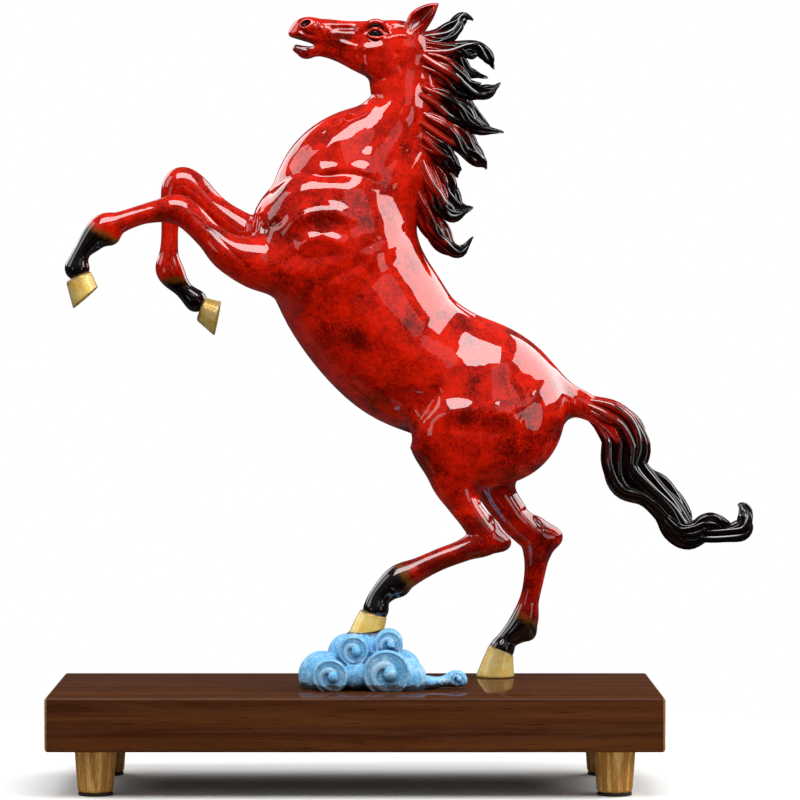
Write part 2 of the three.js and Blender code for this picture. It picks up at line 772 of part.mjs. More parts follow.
// Mane

const maneLocks = [
  [[36, 0, headHeight - 1, 5, 5], [54, 0, headHeight + 2, 4.6, 6], [64, 1, headHeight + 9, 4.6, 5],
    [69, 1, headHeight + 15.5, 3, 3.4], [75, 0, headHeight + 13, 1, 1]],
  [[42, -2, headHeight - 9, 5, 6], [60, -3, headHeight - 6.5, 4.6, 6],
    [76, -2, headHeight - 3.5, 3.8, 5], [84.5, -1, headHeight - 11, 3.6, 4],
    [88.5, 0, headHeight - 18, 0.9, 1]],
  [[44, 5, headHeight - 9, 5, 5], [62, 6, headHeight - 11, 4.4, 4], [71, 6, headHeight - 19, 3.6, 3.6],
    [84.5, 5, headHeight - 23.5, 0.9, 1]],
  [[42, -3, headHeight - 13, 7, 7], [58, -4, headHeight - 21, 7, 7], [67, -3, headHeight - 29, 6, 6.4],
    [77, -2, headHeight - 33.2, 4.8, 5], [86, -1, headHeight - 32.4, 3.4, 3.6],
    [92.3, 0, headHeight - 27, 0.8, 1]],
  [[44, 5, headHeight - 27, 6, 5], [62, 6, headHeight - 33, 5.4, 5], [74, 6, headHeight - 43, 3.6, 4],
    [86, 4, headHeight - 56, 0.9, 1]],
  [[42, -3, headHeight - 33, 7, 8], [58, -4, headHeight - 41, 7.2, 7],
    [68, -3, headHeight - 49, 7, 6.4], [78, -2, headHeight - 55.6, 4.4, 4.6],
    [94.5, 0, headHeight - 58.6, 0.8, 1]],
  [[42, 5, chestHeight + 72, 6, 6], [60, 6, chestHeight + 63, 5.4, 5],
    [73, 6, chestHeight + 56, 3.8, 4], [80, 5, chestHeight + 46, 0.9, 1]],
  [[42, -3, chestHeight + 68, 7, 8], [60, -4, chestHeight + 59, 7, 7],
    [70, -3, chestHeight + 50, 6.4, 6], [79, -2, chestHeight + 43, 4.6, 4.4],
    [83.5, 0, chestHeight + 37, 1.2, 1.4]],
  [[42, -4, chestHeight + 55, 6, 7], [57, -5, chestHeight + 45, 5, 6],
    [63, -5, chestHeight + 37.5, 3.4, 4], [65, -4, chestHeight + 31.5, 0.9, 1]],
  [[42, 4, chestHeight + 44, 6, 7], [57, 5, chestHeight + 31, 5, 5],
    [61.5, 5, chestHeight + 21, 4.2, 4.4], [67, 4, chestHeight + 13.4, 2.6, 3],
    [75, 3, chestHeight + 12.4, 0.8, 1]],
  [[40, -3, chestHeight + 40, 6, 8], [50, -4, chestHeight + 22, 6.2, 7],
    [55.5, -3, chestHeight + 12, 5.6, 6], [63, -2, chestHeight + 7.4, 4, 4.4],
    [74.5, 0, chestHeight + 12, 0.8, 1]],
  [[34, 0, chestHeight + 24, 6, 8], [45, 0, chestHeight + 8, 6.6, 7],
    [51.5, 0, chestHeight - 4, 6.8, 6], [58.5, 0, chestHeight - 12, 5.2, 5],
    [67, 0, chestHeight - 15, 3.4, 3.6], [75, 0, chestHeight - 6.6, 0.8, 1]],
];

const crestRoot = [
  [34, 0, headHeight - 7, 5, 5], [46, 0, headHeight - 7, 7, 7], [48, 0, headHeight - 23, 8, 8],
  [48, 0, headHeight - 47, 8.6, 9], [45, 0, chestHeight + 42, 8.6, 9], [38, 0, chestHeight + 16, 7, 8],
];

// What the hair keeps clear of
const grownField = (x, y, z) => horseField(x, y, z) - hairGap;
const neckEnvelope = skinOf(grownField, ...bodyBox, bodyCell).add(skinOf(grownField, ...headBox, headCell));
const mane = joined([lock(crestRoot, 2), ...maneLocks.map((stations) => lock(stations, 2))])
  .subtract(neckEnvelope);

// Tail: locks that wind round a middle line of [x, z, radius]
const tailLine = [
  [134, 178.6, 9], [146, 175.6, 9], [158, 169.6, 9], [168, 160, 10.5], [173, 147, 12], [173.5, 134, 12.5],
  [181, 122.5, 12], [193, 114, 10.5], [203, 104, 10], [213, 95, 10], [227, 97.5, 8.4], [241, 95.8, 6.2],
  [251.4, 103, 5.8], [246.6, 113.6, 4],
];
const tailLockCount = 4;
const tailTurn = 2.4;
const tailWidth = 0.8;

function tailLock(index) {
  const last = tailLine.length - 1;
  return lock(tailLine.map(([x, z, radius], n) => {
    const angle = (index / tailLockCount) * 2 * Math.PI + (n / last) * tailTurn;
    const offset = radius * 0.44;
    return [x + offset * Math.cos(angle) * 0.6, offset * Math.sin(angle) * tailWidth,
      z + offset * Math.cos(angle) * 0.8, radius * 0.66, radius * 0.6];
  }), 1, fluteDepth, index);
}

const tail = cutAtSeam(joined(Array.from({ length: tailLockCount }, (_, i) => tailLock(i))), seams.tail);

// Cloud: round lobes across the board, in [x, z, radius, front y, back y, curl] rows, y from the board's
// middle. A curl is a raised spiral on the lobe's front (-1) or back (1) face.

const lobeRim = 3;
const lobeSides = 12;
const curlTurns = 1.4;
const curlSteps = 10;
const cloudLobes = [
  [19.5, 11, 14.6, -45, -14, -1],
  [32, 7, 12.6, -42, -10, 0],
  [-15.5, 9, 11, -44, -18, -1],
  [0.5, 9.5, 9.4, -42, -12, 0],
  [-1, 24.4, 9.6, -38, -14, -1],
  [21, 28.4, 8.8, -36, -12, -1],
  [-21, 8.6, 14.6, -34, 2, 0],
  [-6, 22, 11.2, -26, 6, 0],
  [4, 12, 15, -14, 18, 1],
  [29, 9, 12.4, -12, 16, 1],
  [17, 25, 9.2, -14, 10, 1],
];

function lobe([x, z, radius, front, back]) {
  const profile = [[0, front], [radius - lobeRim, front], [radius, front + lobeRim],
    [radius, back - lobeRim], [radius - lobeRim, back], [0, back]];
  const geometry = new THREE.LatheGeometry(profile.map((p) => new THREE.Vector2(...p)), lobeSides);
  geometry.translate(x, 0, z);
  return solidOf(geometry);
}

class Spiral extends THREE.Curve {
  constructor(x, y, z, radius, side) {
    super();
    Object.assign(this, { x, y, z, radius, side });
  }

  getPoint(t) {
    const angle = this.side * (t * curlTurns * 2 * Math.PI) + 0.6;
    const reach = this.radius * (1 - 0.72 * t);
    return new THREE.Vector3(this.x + reach * Math.cos(angle), this.y, this.z + reach * Math.sin(angle));
  }
}

function roundSection(radius, sides) {
  return new THREE.Shape(Array.from({ length: sides }, (_, i) => {
    const angle = (i / sides) * 2 * Math.PI;
    return new THREE.Vector2(radius * Math.cos(angle), radius * Math.sin(angle));
  }));
}

function curl([x, z, radius, front, back, side]) {
  const face = side < 0 ? front : back;
  const path = new Spiral(x, face, z, radius * 0.66, side);
  const section = roundSection(radius * 0.15, 4);
  return solidOf(new THREE.ExtrudeGeometry(section, { steps: curlSteps, extrudePath: path }));
}

const cloudTail = [
  [34, -26, 5, 6, 7], [46, -27, 4, 4.4, 6], [54, -27, 4.6, 3.4, 5], [63.5, -27, 6.6, 5.4, 5],
  [67.6, -27, 4.6, 2.4, 3],
];

const platform = turned([[0, 0], [22, 0], [20, 20], [15, 33], [0, 33]], lobeSides);
platform.translate(hoofs.nearHind.sole[0], horseAcrossBoard + nearHind, 0);

const nearScrewAt = [hoofs.nearHind.sole[0] + 1, horseAcrossBoard + nearHind];
const farScrewAt = [hoofs.farHind.sole[0] + 1, horseAcrossBoard + farHind];
const cloudScrewsAt = [[-16, -20], [32, -18]];

function hoofSeat() {
  return loft([0, 0.5, 1].map((down) => hoofRing(hoofs.nearHind, down, fit)))
    .translate(0, horseAcrossBoard, -fit / 2);
}

function pillar(radius, [x, y], zFrom, zTo) {
  return rod(radius, new THREE.Vector3(x, y, zFrom), new THREE.Vector3(0, 0, 1), zTo - zFrom);
}

const cloudBlank = joined([
  solidOf(platform), ...cloudLobes.map(lobe), lock(cloudTail, 2),
  ...cloudLobes.filter((row) => row[5] !== 0).map(curl),
]);
const cloud = [
  sidePrism([[-80, seatGap], [90, seatGap], [90, -40], [-80, -40]], -80, 80),
  hoofSeat(),
  pillar(machineScrewDiameter / 2 + fit, nearScrewAt, -1, 60),
  ...cloudScrewsAt.map((at) => pillar(woodScrewDiameter / 2 + fit, at, -1, cloudScrewGrip + fit)),
].reduce((solid, cutter) => solid.subtract(cutter), cloudBlank);

// Board, drilled from below

const signs = [-1, 1];
const footPlaces = signs.flatMap((sx) => signs.map((sy) => [
  sx * (boardLength / 2 - footFromEnd), sy * (boardDepth / 2 - footFromSide),
]));

function boardBores() {
  const headClearance = counterboreClearance / 2;
  const through = [
    ...[nearScrewAt, farScrewAt].map((at) => [at, machineScrewDiameter, washerDiameter]),
    ...cloudScrewsAt.map((at) => [at, woodScrewDiameter, woodScrewHeadDiameter]),
  ];
  return [
    ...footPlaces.map((at) => pillar(woodScrewDiameter / 2 + fit, at, boardBottom - 1,
      boardBottom + footScrewGrip + fit)),
    ...through.flatMap(([at, shank, wide]) => [
      pillar(shank / 2 + fit, at, boardBottom - 1, boardTop + 1),
      pillar(wide / 2 + headClearance, at, boardBottom - 1, boardBottom + counterboreDepth),
    ]),
  ];
}

const boardBlank = new RoundedBoxGeometry(boardLength, boardDepth, boardThickness, 1, boardEdgeRadius);
boardBlank.translate(0, 0, boardBottom + boardThickness / 2);
const board = boardBores().reduce((solid, bore) => solid.subtract(bore), solidOf(boardBlank));

// Feet, pads and fasteners, each standing on its own origin

const footBore = woodScrewDiameter / 2 + fit;
const footCounterbore = woodScrewHeadDiameter / 2 + counterboreClearance / 2;

const foot = turned([
  [footBore, footHeight - footBoreFloor], [footBore, footHeight], [footTopDiameter / 2, footHeight],
  [footBottomDiameter / 2, 0], [footCounterbore, 0], [footCounterbore, footHeight - footBoreFloor],
  [footBore, footHeight - footBoreFloor],
].reverse(), footSides);

const padRadius = padDiameter / 2;
const pad = turned([[0, 0], [padRadius, 0], [padRadius, padThickness], [0, padThickness]], footSides);

function woodScrew(shankLength) {
  const tip = woodScrewDiameter;
  return turned([
    [0, 0], [woodScrewHeadDiameter / 2, 0], [woodScrewHeadDiameter / 2, woodScrewHeadHeight],
    [woodScrewDiameter / 2, woodScrewHeadHeight],
    [woodScrewDiameter / 2, woodScrewHeadHeight + shankLength - tip],
    [0.4, woodScrewHeadHeight + shankLength], [0, woodScrewHeadHeight + shankLength],
  ], 8);
}

function machineScrew(shankLength) {
  const blank = solidOf(turned([
    [0, 0], [machineScrewHeadDiameter / 2, 0], [machineScrewHeadDiameter / 2, machineScrewHeadHeight],
    [machineScrewDiameter / 2, machineScrewHeadHeight],
    [machineScrewDiameter / 2, machineScrewHeadHeight + shankLength],
    [0, machineScrewHeadHeight + shankLength],
  ], 10));
  const key = rod(hexSocket / Math.sqrt(3), new THREE.Vector3(0, 0, -1), new THREE.Vector3(0, 0, 1),
    1 + machineScrewHeadHeight / 2, 6);
  return geometryOf(blank.subtract(key));
}

const washer = turned([
  [machineScrewDiameter / 2 + fit, 0], [washerDiameter / 2, 0], [washerDiameter / 2, washerThickness],
  [machineScrewDiameter / 2 + fit, washerThickness], [machineScrewDiameter / 2 + fit, 0],
], 12);

// Assembly

const figurine = new THREE.Group();
const base = new THREE.Group();
const horse = new THREE.Group();
horse.position.set(0, horseAcrossBoard, boardTop);
figurine.add(base, horse);

function place(group, name, geometry, material, at = [0, 0, 0]) {
  const mesh = new THREE.Mesh(geometry, material);
  mesh.name = name;
  mesh.position.set(...at);
  group.add(mesh);
  return mesh;
}

place(base, 'walnut_board', geometryOf(board), walnut);
footPlaces.forEach(([x, y]) => {
  const corner = `${y < 0 ? 'front' : 'back'}_${x < 0 ? 'left' : 'right'}`;
  const seatHeight = padThickness + footHeight - footBoreFloor;
  place(base, `brass_foot_${corner}`, foot, brass, [x, y, padThickness]);
  place(base, `rubber_pad_${corner}`, pad, rubber, [x, y, 0]);
  place(base, `foot_screw_${corner}`, woodScrew(footBoreFloor + footScrewGrip), steel,
    [x, y, seatHeight - woodScrewHeadHeight - seatGap]);
});

[['near', nearScrewAt, hoofs.nearHind.sole[1]], ['far', farScrewAt, 0]].forEach(([side, [x, y], sole]) => {
  const counterboreTop = boardBottom + counterboreDepth;
  const shank = washerThickness + boardThickness - counterboreDepth + sole + machineScrewGrip;
  place(base, `hoof_washer_${side}`, washer, steel, [x, y, counterboreTop - washerThickness - seatGap]);
  place(base, `hoof_screw_${side}`, machineScrew(shank), steel,
    [x, y, counterboreTop - washerThickness - machineScrewHeadHeight - 2 * seatGap]);
});

cloudScrewsAt.forEach(([x, y], index) => {
  const shank = boardThickness - counterboreDepth + cloudScrewGrip;
  place(base, `cloud_screw_${index === 0 ? 'left' : 'right'}`, woodScrew(shank), steel,
    [x, y, boardBottom + counterboreDepth - woodScrewHeadHeight - seatGap]);
});

place(base, 'cloud_casting', geometryOf(cloud), blueEnamel, [0, 0, boardTop]);
place(horse, 'body_casting', geometryOf(body), redLacquer);
place(horse, 'head_casting', geometryOf(head), redLacquer);
place(horse, 'mane_casting', geometryOf(mane), blackLacquer);
place(horse, 'tail_casting', geometryOf(tail), blackLacquer);
eyeCentres.forEach((centre, index) => {
  place(horse, `eye_${index === 0 ? 'left' : 'right'}`, geometryOf(ball(eyeRadius, centre)), blackGlass);
});

const limbNames = {
  nearFore: 'foreleg_left', farFore: 'foreleg_right', nearHind: 'hindleg_left', farHind: 'hindleg_right',
};
Object.entries(limbNames).forEach(([key, name]) => {
  const hoof = hoofs[key];
  const screwAt = { nearHind: nearScrewAt, farHind: farScrewAt }[key];
  const hole = screwAt && pillar(machineScrewDiameter / 2 + fit, [screwAt[0], hoof.y], hoof.sole[1] - 5,
    hoof.sole[1] + machineScrewGrip + 1);
  const solid = hoofSolid(hoof);
  place(horse, `${name}_casting`, geometryOf(endedAtHoof(legs[key], hoof)), redLacquer);
  place(horse, `${name}_hoof`, geometryOf(hole ? solid.subtract(hole) : solid), gilt);
});

// The origin is the middle of the footprint
const bounds = new THREE.Box3().setFromObject(figurine);
figurine.position.x = -(bounds.min.x + bounds.max.x) / 2;
figurine.position.y = -(bounds.min.y + bounds.max.y) / 2;

export default figurine;
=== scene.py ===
"""Rearing horse in lacquered cast copper, with gilt hooves, on an enamelled cloud and a walnut board."""

import math
from itertools import product

import bmesh
import bpy
import numpy as np
import openvdb
from bpy.props import FloatProperty, FloatVectorProperty, PointerProperty
from mathutils import Matrix, Vector


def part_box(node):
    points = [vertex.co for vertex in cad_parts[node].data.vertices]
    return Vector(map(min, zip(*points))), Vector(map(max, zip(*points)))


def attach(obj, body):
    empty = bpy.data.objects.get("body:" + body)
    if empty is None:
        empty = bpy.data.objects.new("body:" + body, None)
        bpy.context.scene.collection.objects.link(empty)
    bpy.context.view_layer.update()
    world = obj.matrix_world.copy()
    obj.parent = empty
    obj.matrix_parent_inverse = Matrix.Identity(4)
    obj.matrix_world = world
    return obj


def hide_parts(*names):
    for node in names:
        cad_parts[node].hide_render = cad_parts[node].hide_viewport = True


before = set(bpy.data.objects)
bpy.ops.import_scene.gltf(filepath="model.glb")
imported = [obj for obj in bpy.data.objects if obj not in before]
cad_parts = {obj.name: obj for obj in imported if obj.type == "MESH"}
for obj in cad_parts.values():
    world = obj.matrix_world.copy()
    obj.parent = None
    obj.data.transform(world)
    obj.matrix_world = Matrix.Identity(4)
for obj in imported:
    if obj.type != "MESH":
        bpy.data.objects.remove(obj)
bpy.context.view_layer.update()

bl_info = {
    "name": "Rearing Horse",
    "version": (1, 0, 0),
    "blender": (4, 5, 0),
    "location": "3D Viewport > Sidebar > Horse",
    "description": "Builds a lacquered rearing horse on a cloud and a walnut board",
    "category": "Object",
}

MM = 0.001
FAR = 40.0
NEAR, BOTH, OFF = -1, 0, 1


def hex_colour(code):
    """An sRGB hex value as linear red, green, blue and alpha."""
    parts = [int(code[n:n + 2], 16) / 255 for n in (1, 3, 5)]
    return tuple(p / 12.92 if p <= 0.04045 else ((p + 0.055) / 1.055) ** 2.4 for p in parts) + (1.0,)


def middle(node):
    low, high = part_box(node)
    return (low + high) / 2


BOARD_LOW, BOARD_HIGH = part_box("walnut_board")
BOARD_TOP = Vector((middle("walnut_board").x, middle("walnut_board").y, BOARD_HIGH.z))
HORSE_MIDDLE = (middle("eye_left").y + middle("eye_right").y) / 2
HORSE_ORIGIN = Vector((BOARD_TOP.x, HORSE_MIDDLE, BOARD_TOP.z))


# Sizes and colours


class HorseSculptSettings(bpy.types.PropertyGroup):
    body_cell: FloatProperty(
        name="Body detail", description="Grid of the body's clay", default=0.0012, unit="LENGTH")
    head_cell: FloatProperty(
        name="Head detail", description="Grid of the head's clay", default=0.0005, unit="LENGTH")
    leg_cell: FloatProperty(
        name="Leg detail", description="Grid of the legs' clay", default=0.0006, unit="LENGTH")
    cloud_cell: FloatProperty(
        name="Cloud detail", description="Grid of the cloud's clay", default=0.0006, unit="LENGTH")
    eye_radius: FloatProperty(
        name="Eye radius", description="Radius of a glass eye", default=0.004, unit="LENGTH")


class HorseColourSettings(bpy.types.PropertyGroup):
    red: FloatVectorProperty(
        name="Red", description="Bright red of the lacquer", subtype="COLOR", size=4,
        default=hex_colour("#e81c04"), min=0, max=1)
    deep_red: FloatVectorProperty(
        name="Deep red", description="Dark clouds in the red lacquer", subtype="COLOR", size=4,
        default=hex_colour("#9a0803"), min=0, max=1)
    black: FloatVectorProperty(
        name="Black", description="Black lacquer of the pasterns and the hair", subtype="COLOR", size=4,
        default=hex_colour("#0d0908"), min=0, max=1)
    gold: FloatVectorProperty(
        name="Gold", description="Gilding of the hooves", subtype="COLOR", size=4,
        default=hex_colour("#ffe99a"), min=0, max=1)
    blue: FloatVectorProperty(
        name="Blue", description="Enamel of the cloud", subtype="COLOR", size=4,
        default=hex_colour("#6fc2f4"), min=0, max=1)
    walnut: FloatVectorProperty(
        name="Walnut", description="Wood of the board", subtype="COLOR", size=4,
        default=hex_colour("#4d2c19"), min=0, max=1)
    brass: FloatVectorProperty(
        name="Brass", description="Turned brass of the feet", subtype="COLOR", size=4,
        default=hex_colour("#ffcd78"), min=0, max=1)


class HorseBaseSettings(bpy.types.PropertyGroup):
    edge_radius: FloatProperty(
        name="Board edge", description="Radius of the board's eased edges", default=0.002, unit="LENGTH")
    counterbore: FloatProperty(
        name="Counterbore", description="Depth of the counterbores under the board", default=0.009,
        unit="LENGTH")


class HorseStageSettings(bpy.types.PropertyGroup):
    lens: FloatProperty(
        name="Lens", description="Focal length of the camera in mm", default=171.5, subtype="NONE")
    camera_distance: FloatProperty(
        name="Camera distance", description="From the board's middle to the camera", default=2.409,
        unit="LENGTH")
    camera_height: FloatProperty(
        name="Camera height", description="Height of the camera over the floor", default=0.2998,
        unit="LENGTH")
    camera_shift: FloatVectorProperty(
        name="Camera shift", description="Shift of the camera's lens to the right and up", size=2,
        default=(0.0394, -0.1125), subtype="NONE")


# Sculpting in clay


def through(stations, steps):
    """A smooth run through stations of any numbers, as an array with a row for each point."""
    rows = np.array(stations, float)
    last = len(rows) - 1
    points = []
    for n in range(last):
        before, start, end, after = rows[max(n - 1, 0)], rows[n], rows[n + 1], rows[min(n + 2, last)]
        for step in range(steps):
            t = step / steps
            points.append(start + 0.5 * t * (
                end - before + t * (2 * before - 5 * start + 4 * end - after
                                    + t * (3 * start - before - 3 * end + after))))
    points.append(rows[last])
    return np.array(points)


def smooth_union(a, b, width):
    if width <= 0:
        return np.minimum(a, b)
    near = np.maximum(width - np.abs(a - b), 0)
    return np.minimum(a, b) - near * near / (4 * width)


def outline_distance(outline, x, z):
    """Distance in the side view to a closed outline, negative inside."""
    nearest = np.full(np.broadcast(x, z).shape, FAR * 9)
    inside = np.zeros(nearest.shape, bool)
    for (ax, az), (bx, bz) in zip(outline, outline[1:] + outline[:1]):
        dx, dz = bx - ax, bz - az
        t = np.clip(((x - ax) * dx + (z - az) * dz) / (dx * dx + dz * dz), 0, 1)
        nearest = np.minimum(nearest, np.hypot(x - ax - t * dx, z - az - t * dz))
        if az != bz:
            inside ^= ((az > z) != (bz > z)) & (x < ax + (z - az) * dx / dz)
    return np.where(inside, -nearest, nearest)


class Clay:
    """A block of clay on a grid in mm. Its field is the distance to the skin, negative inside."""

    sense = 9.0

    def __init__(self, low, high, cell):
        self.cell = cell
        self.low = np.array(low, float)
        counts = np.ceil((np.array(high) - self.low) / cell).astype(int) + 1
        self.axes = [(self.low[n] + cell * np.arange(counts[n])).astype(np.float32) for n in range(3)]
        self.field = np.full(counts, FAR, np.float32)

    def part(self, low, high):
        cut = tuple(slice(*np.searchsorted(self.axes[n], (low[n], high[n]))) for n in range(3))
        x, y, z = (self.axes[n][cut[n]] for n in range(3))
        return cut, x[:, None, None], y[None, :, None], z[None, None, :]

    def limb(self, blend, stations, steps=8):
        """Adds a tapered limb along stations of x, y, z, radius and half width."""
        points = through(stations, steps).astype(np.float32)
        nearest = np.full(self.field.shape, FAR, np.float32)
        for a, b in zip(points[:-1], points[1:]):
            grow = max(a[3:].max(), b[3:].max()) + max(blend, self.sense)
            cut, x, y, z = self.part(np.minimum(a[:3], b[:3]) - grow, np.maximum(a[:3], b[:3]) + grow)
            if 0 in nearest[cut].shape:
                continue
            step = b[:3] - a[:3]
            along = (x - a[0]) * step[0] + (y - a[1]) * step[1] + (z - a[2]) * step[2]
            t = np.clip(along / step.dot(step), 0, 1)
            radius = a[3] + t * (b[3] - a[3])
            flat = (a[4] + t * (b[4] - a[4])) / radius
            away = np.sqrt((x - a[0] - t * step[0]) ** 2 + ((y - a[1] - t * step[1]) / flat) ** 2
                           + (z - a[2] - t * step[2]) ** 2) - radius
            nearest[cut] = np.minimum(nearest[cut], away * np.minimum(1, flat))
        self.field = smooth_union(self.field, nearest, blend)

    def muscle(self, side, centre, radii, tilt, blend, sign=1):
        """Adds an ellipsoid, tilted in the side view, or takes it away with a sign of -1."""
        turn = math.radians(tilt)
        for here in ((-1, 1) if side == BOTH else (1,)):
            middle_y = here * centre[1]
            grow = max(radii) + blend + self.sense
            low = np.array([centre[0], middle_y, centre[2]]) - grow
            cut, x, y, z = self.part(low, low + 2 * grow)
            if 0 in self.field[cut].shape:
                continue
            u = ((x - centre[0]) * math.cos(turn) + (z - centre[2]) * math.sin(turn)) / radii[0]
            v = (y - middle_y) / radii[1]
            w = ((z - centre[2]) * math.cos(turn) - (x - centre[0]) * math.sin(turn)) / radii[2]
            n = np.sqrt(u * u + v * v + w * w) + 1e-6
            away = n * (n - 1) / (np.sqrt((u / radii[0]) ** 2 + (v / radii[1]) ** 2 + (w / radii[2]) ** 2) + 1e-6)
            self.field[cut] = sign * smooth_union(sign * self.field[cut], away, blend)

    def relax(self, spread):
        """Evens out the joins between forms over a spread in mm."""
        for _ in range(max(1, round((spread / self.cell) ** 2 * 2))):
            for axis in range(3):
                f = np.moveaxis(self.field, axis, 0)
                f[1:-1] = 0.25 * f[:-2] + 0.5 * f[1:-1] + 0.25 * f[2:]

    def score(self, side, depth, widths, points, soft=False):
        """Presses a groove along a line in the side view, or raises a ridge with a negative depth."""
        line = through(points, 6)
        reach = 4 * max(widths)
        cut, x, y, z = self.part([line[:, 0].min() - reach, -99, line[:, 1].min() - reach],
                                 [line[:, 0].max() + reach, 99, line[:, 1].max() + reach])
        if 0 in self.field[cut].shape:
            return
        x, z = x[:, :, 0], z[0]
        nearest = np.full(np.broadcast(x, z).shape, FAR)
        turn = np.zeros(nearest.shape)
        run = np.zeros(nearest.shape)
        for n, (a, b) in enumerate(zip(line[:-1], line[1:])):
            dx, dz = b - a
            t = np.clip(((x - a[0]) * dx + (z - a[1]) * dz) / (dx * dx + dz * dz), 0, 1)
            away = np.hypot(x - a[0] - t * dx, z - a[1] - t * dz)
            closer = away < nearest
            nearest = np.where(closer, away, nearest)
            turn = np.where(closer, dx * (z - a[1]) - dz * (x - a[0]), turn)
            run = np.where(closer, (n + t) / (len(line) - 1), run)
        width = np.where(turn > 0, widths[0], widths[1])
        ends = np.clip(7 * run * (1 - run), 0, 1) if depth > 0 else 4 * run * (1 - run)
        press = depth * ends * (1 + 0.3 * np.sin(12 * run + depth)) * np.exp(-(nearest / width) ** (2 if soft else 1.2))
        over = np.abs(y) if side == BOTH else side * y
        self.field[cut] += (press[:, None, :] * np.clip((over - 1) / 5, 0, 1)).astype(np.float32)

    def sample(self, values, points):
        spot = np.clip((points - self.low) / self.cell, 0, np.array(values.shape) - 1.001)
        base = spot.astype(int)
        rest = spot - base
        total = np.zeros(len(points))
        for corner in product((0, 1), repeat=3):
            weight = np.prod(np.where(corner, rest, 1 - rest), axis=1)
            total += weight * values[tuple((base + corner).T)]
        return total

    def slope(self, points, step):
        reach = np.eye(3) * step * self.cell
        rise = [self.sample(self.field, points + r) - self.sample(self.field, points - r) for r in reach]
        return np.stack(rise, axis=1) / (2 * step * self.cell)

    def skin(self, solid=None):
        """Points, quads and normals of the skin, or of a solid cut from the clay."""
        solid = self.field if solid is None else solid
        grid = openvdb.FloatGrid(3 * self.cell)
        grid.copyFromArray(np.clip(solid, -3 * self.cell, 3 * self.cell).astype(np.float32))
        grid.transform = openvdb.createLinearTransform(voxelSize=self.cell)
        points, quads = grid.convertToQuads()
        points = points.astype(float) + self.low
        on_skin = np.abs(self.sample(self.field, points)) < 0.8 * self.cell
        for _ in range(3):
            slope = self.slope(points, 0.5)
            rate = np.maximum((slope * slope).sum(1), 0.05)
            move = np.clip(self.sample(self.field, points) / rate, -self.cell / 2, self.cell / 2)
            points = np.where(on_skin[:, None], points - move[:, None] * slope, points)
        normals = self.slope(points, 0.7)
        normals /= np.linalg.norm(normals, axis=1, keepdims=True) + 1e-9
        return points, quads, normals

    def hollow(self, points, normals, reach):
        """How shut in each point is, from 0 on an open bulge to 1 deep in a fold; the materials darken by it as painted
        shade.
        """
        seen = self.sample(self.field, points + normals * reach)
        return np.clip(1 - seen / reach, 0, 1)


# Mesh pieces


def finished(name, mesh, material, replaces):
    """Puts a mesh into the scene as a piece of the horse."""
    mesh.materials.append(material)
    piece = bpy.data.objects.new(name, mesh)
    bpy.context.scene.collection.objects.link(piece)
    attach(piece, "root")
    if replaces:
        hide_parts(*replaces)
    return piece


def cast_mesh(name, origin, points, quads, normals, attributes):
    """A mesh from sculpted skin, with its normals and a float attribute for each named shade."""
    mesh = bpy.data.meshes.new(name)
    mesh.from_pydata((points * MM + np.array(origin)).tolist(), [], quads.tolist())
    for key, values in attributes.items():
        mesh.attributes.new(key, "FLOAT", "POINT").data.foreach_set("value", values.astype(np.float32))
    mesh.shade_smooth()
    mesh.normals_split_custom_set_from_vertices(normals.tolist())
    return mesh


def bmesh_to_mesh(bm, name, sharp=40):
    mesh = bpy.data.meshes.new(name)
    bm.to_mesh(mesh)
    bm.free()
    mesh.shade_smooth()
    mesh.set_sharp_from_angle(angle=math.radians(sharp))
    return mesh


def sweep(bm, rings, shades=None, closed_ends=True):
    """A skin through rings of points that all have one count, with shades for each point."""
    rows, count = len(rings), len(rings[0])
    uv = bm.loops.layers.uv.verify()
    layers = {key: bm.verts.layers.float.get(key) or bm.verts.layers.float.new(key) for key in shades or {}}
    layers = {key: bm.verts.layers.float[key] for key in layers}
    grid = bmesh.ops.create_grid(bm, x_segments=count, y_segments=rows - 1, size=1)["verts"]
    for n, vert in enumerate(grid):
        row, column = divmod(n, count + 1)
        vert.co = rings[row][column % count]
        for key, layer in layers.items():
            vert[layer] = shades[key][row][column % count]
        for loop in vert.link_loops:
            loop[uv].uv = (column / count, row / (rows - 1))
    seam = grid[::count + 1] + grid[count::count + 1]
    bmesh.ops.remove_doubles(bm, verts=seam, dist=1e-8)
    if closed_ends:
        alive = [v for v in grid if v.is_valid]
        open_edges = {e for v in alive for e in v.link_edges if e.is_boundary}
        bmesh.ops.holes_fill(bm, edges=list(open_edges), sides=0)
    return [v for v in grid if v.is_valid]


def spun(bm, profile, centre, steps):
    """A turned form from a closed profile of radius and height round a standing axis."""
    verts = [bm.verts.new((centre.x + r, centre.y, centre.z + h)) for r, h in profile]
    edges = [bm.edges.new((a, b)) for a, b in zip(verts, verts[1:] + verts[:1])]
    bmesh.ops.spin(bm, geom=verts + edges, cent=centre, axis=(0, 0, 1), angle=2 * math.pi,
                   steps=steps, use_merge=True, use_duplicate=False)
    bmesh.ops.remove_doubles(bm, verts=bm.verts, dist=1e-6)
    bmesh.ops.recalc_face_normals(bm, faces=bm.faces)


def rounded(points, radius, steps=5):
    """A profile whose marked corners are rounded: each point is x, y and 1 where it is eased."""
    out = []
    for n, (x, y, eased) in enumerate(points):
        if not eased:
            out.append((x, y))
            continue
        here = Vector((x, y))
        before = Vector(points[n - 1][:2]) - here
        after = Vector(points[(n + 1) % len(points)][:2]) - here
        reach = min(radius, before.length / 2, after.length / 2)
        a, b = here + before.normalized() * reach, here + after.normalized() * reach
        for step in range(steps + 1):
            t = step / steps
            out.append(tuple(a * (1 - t) ** 2 + here * (2 * t * (1 - t)) + b * t * t))
    return out


# Materials


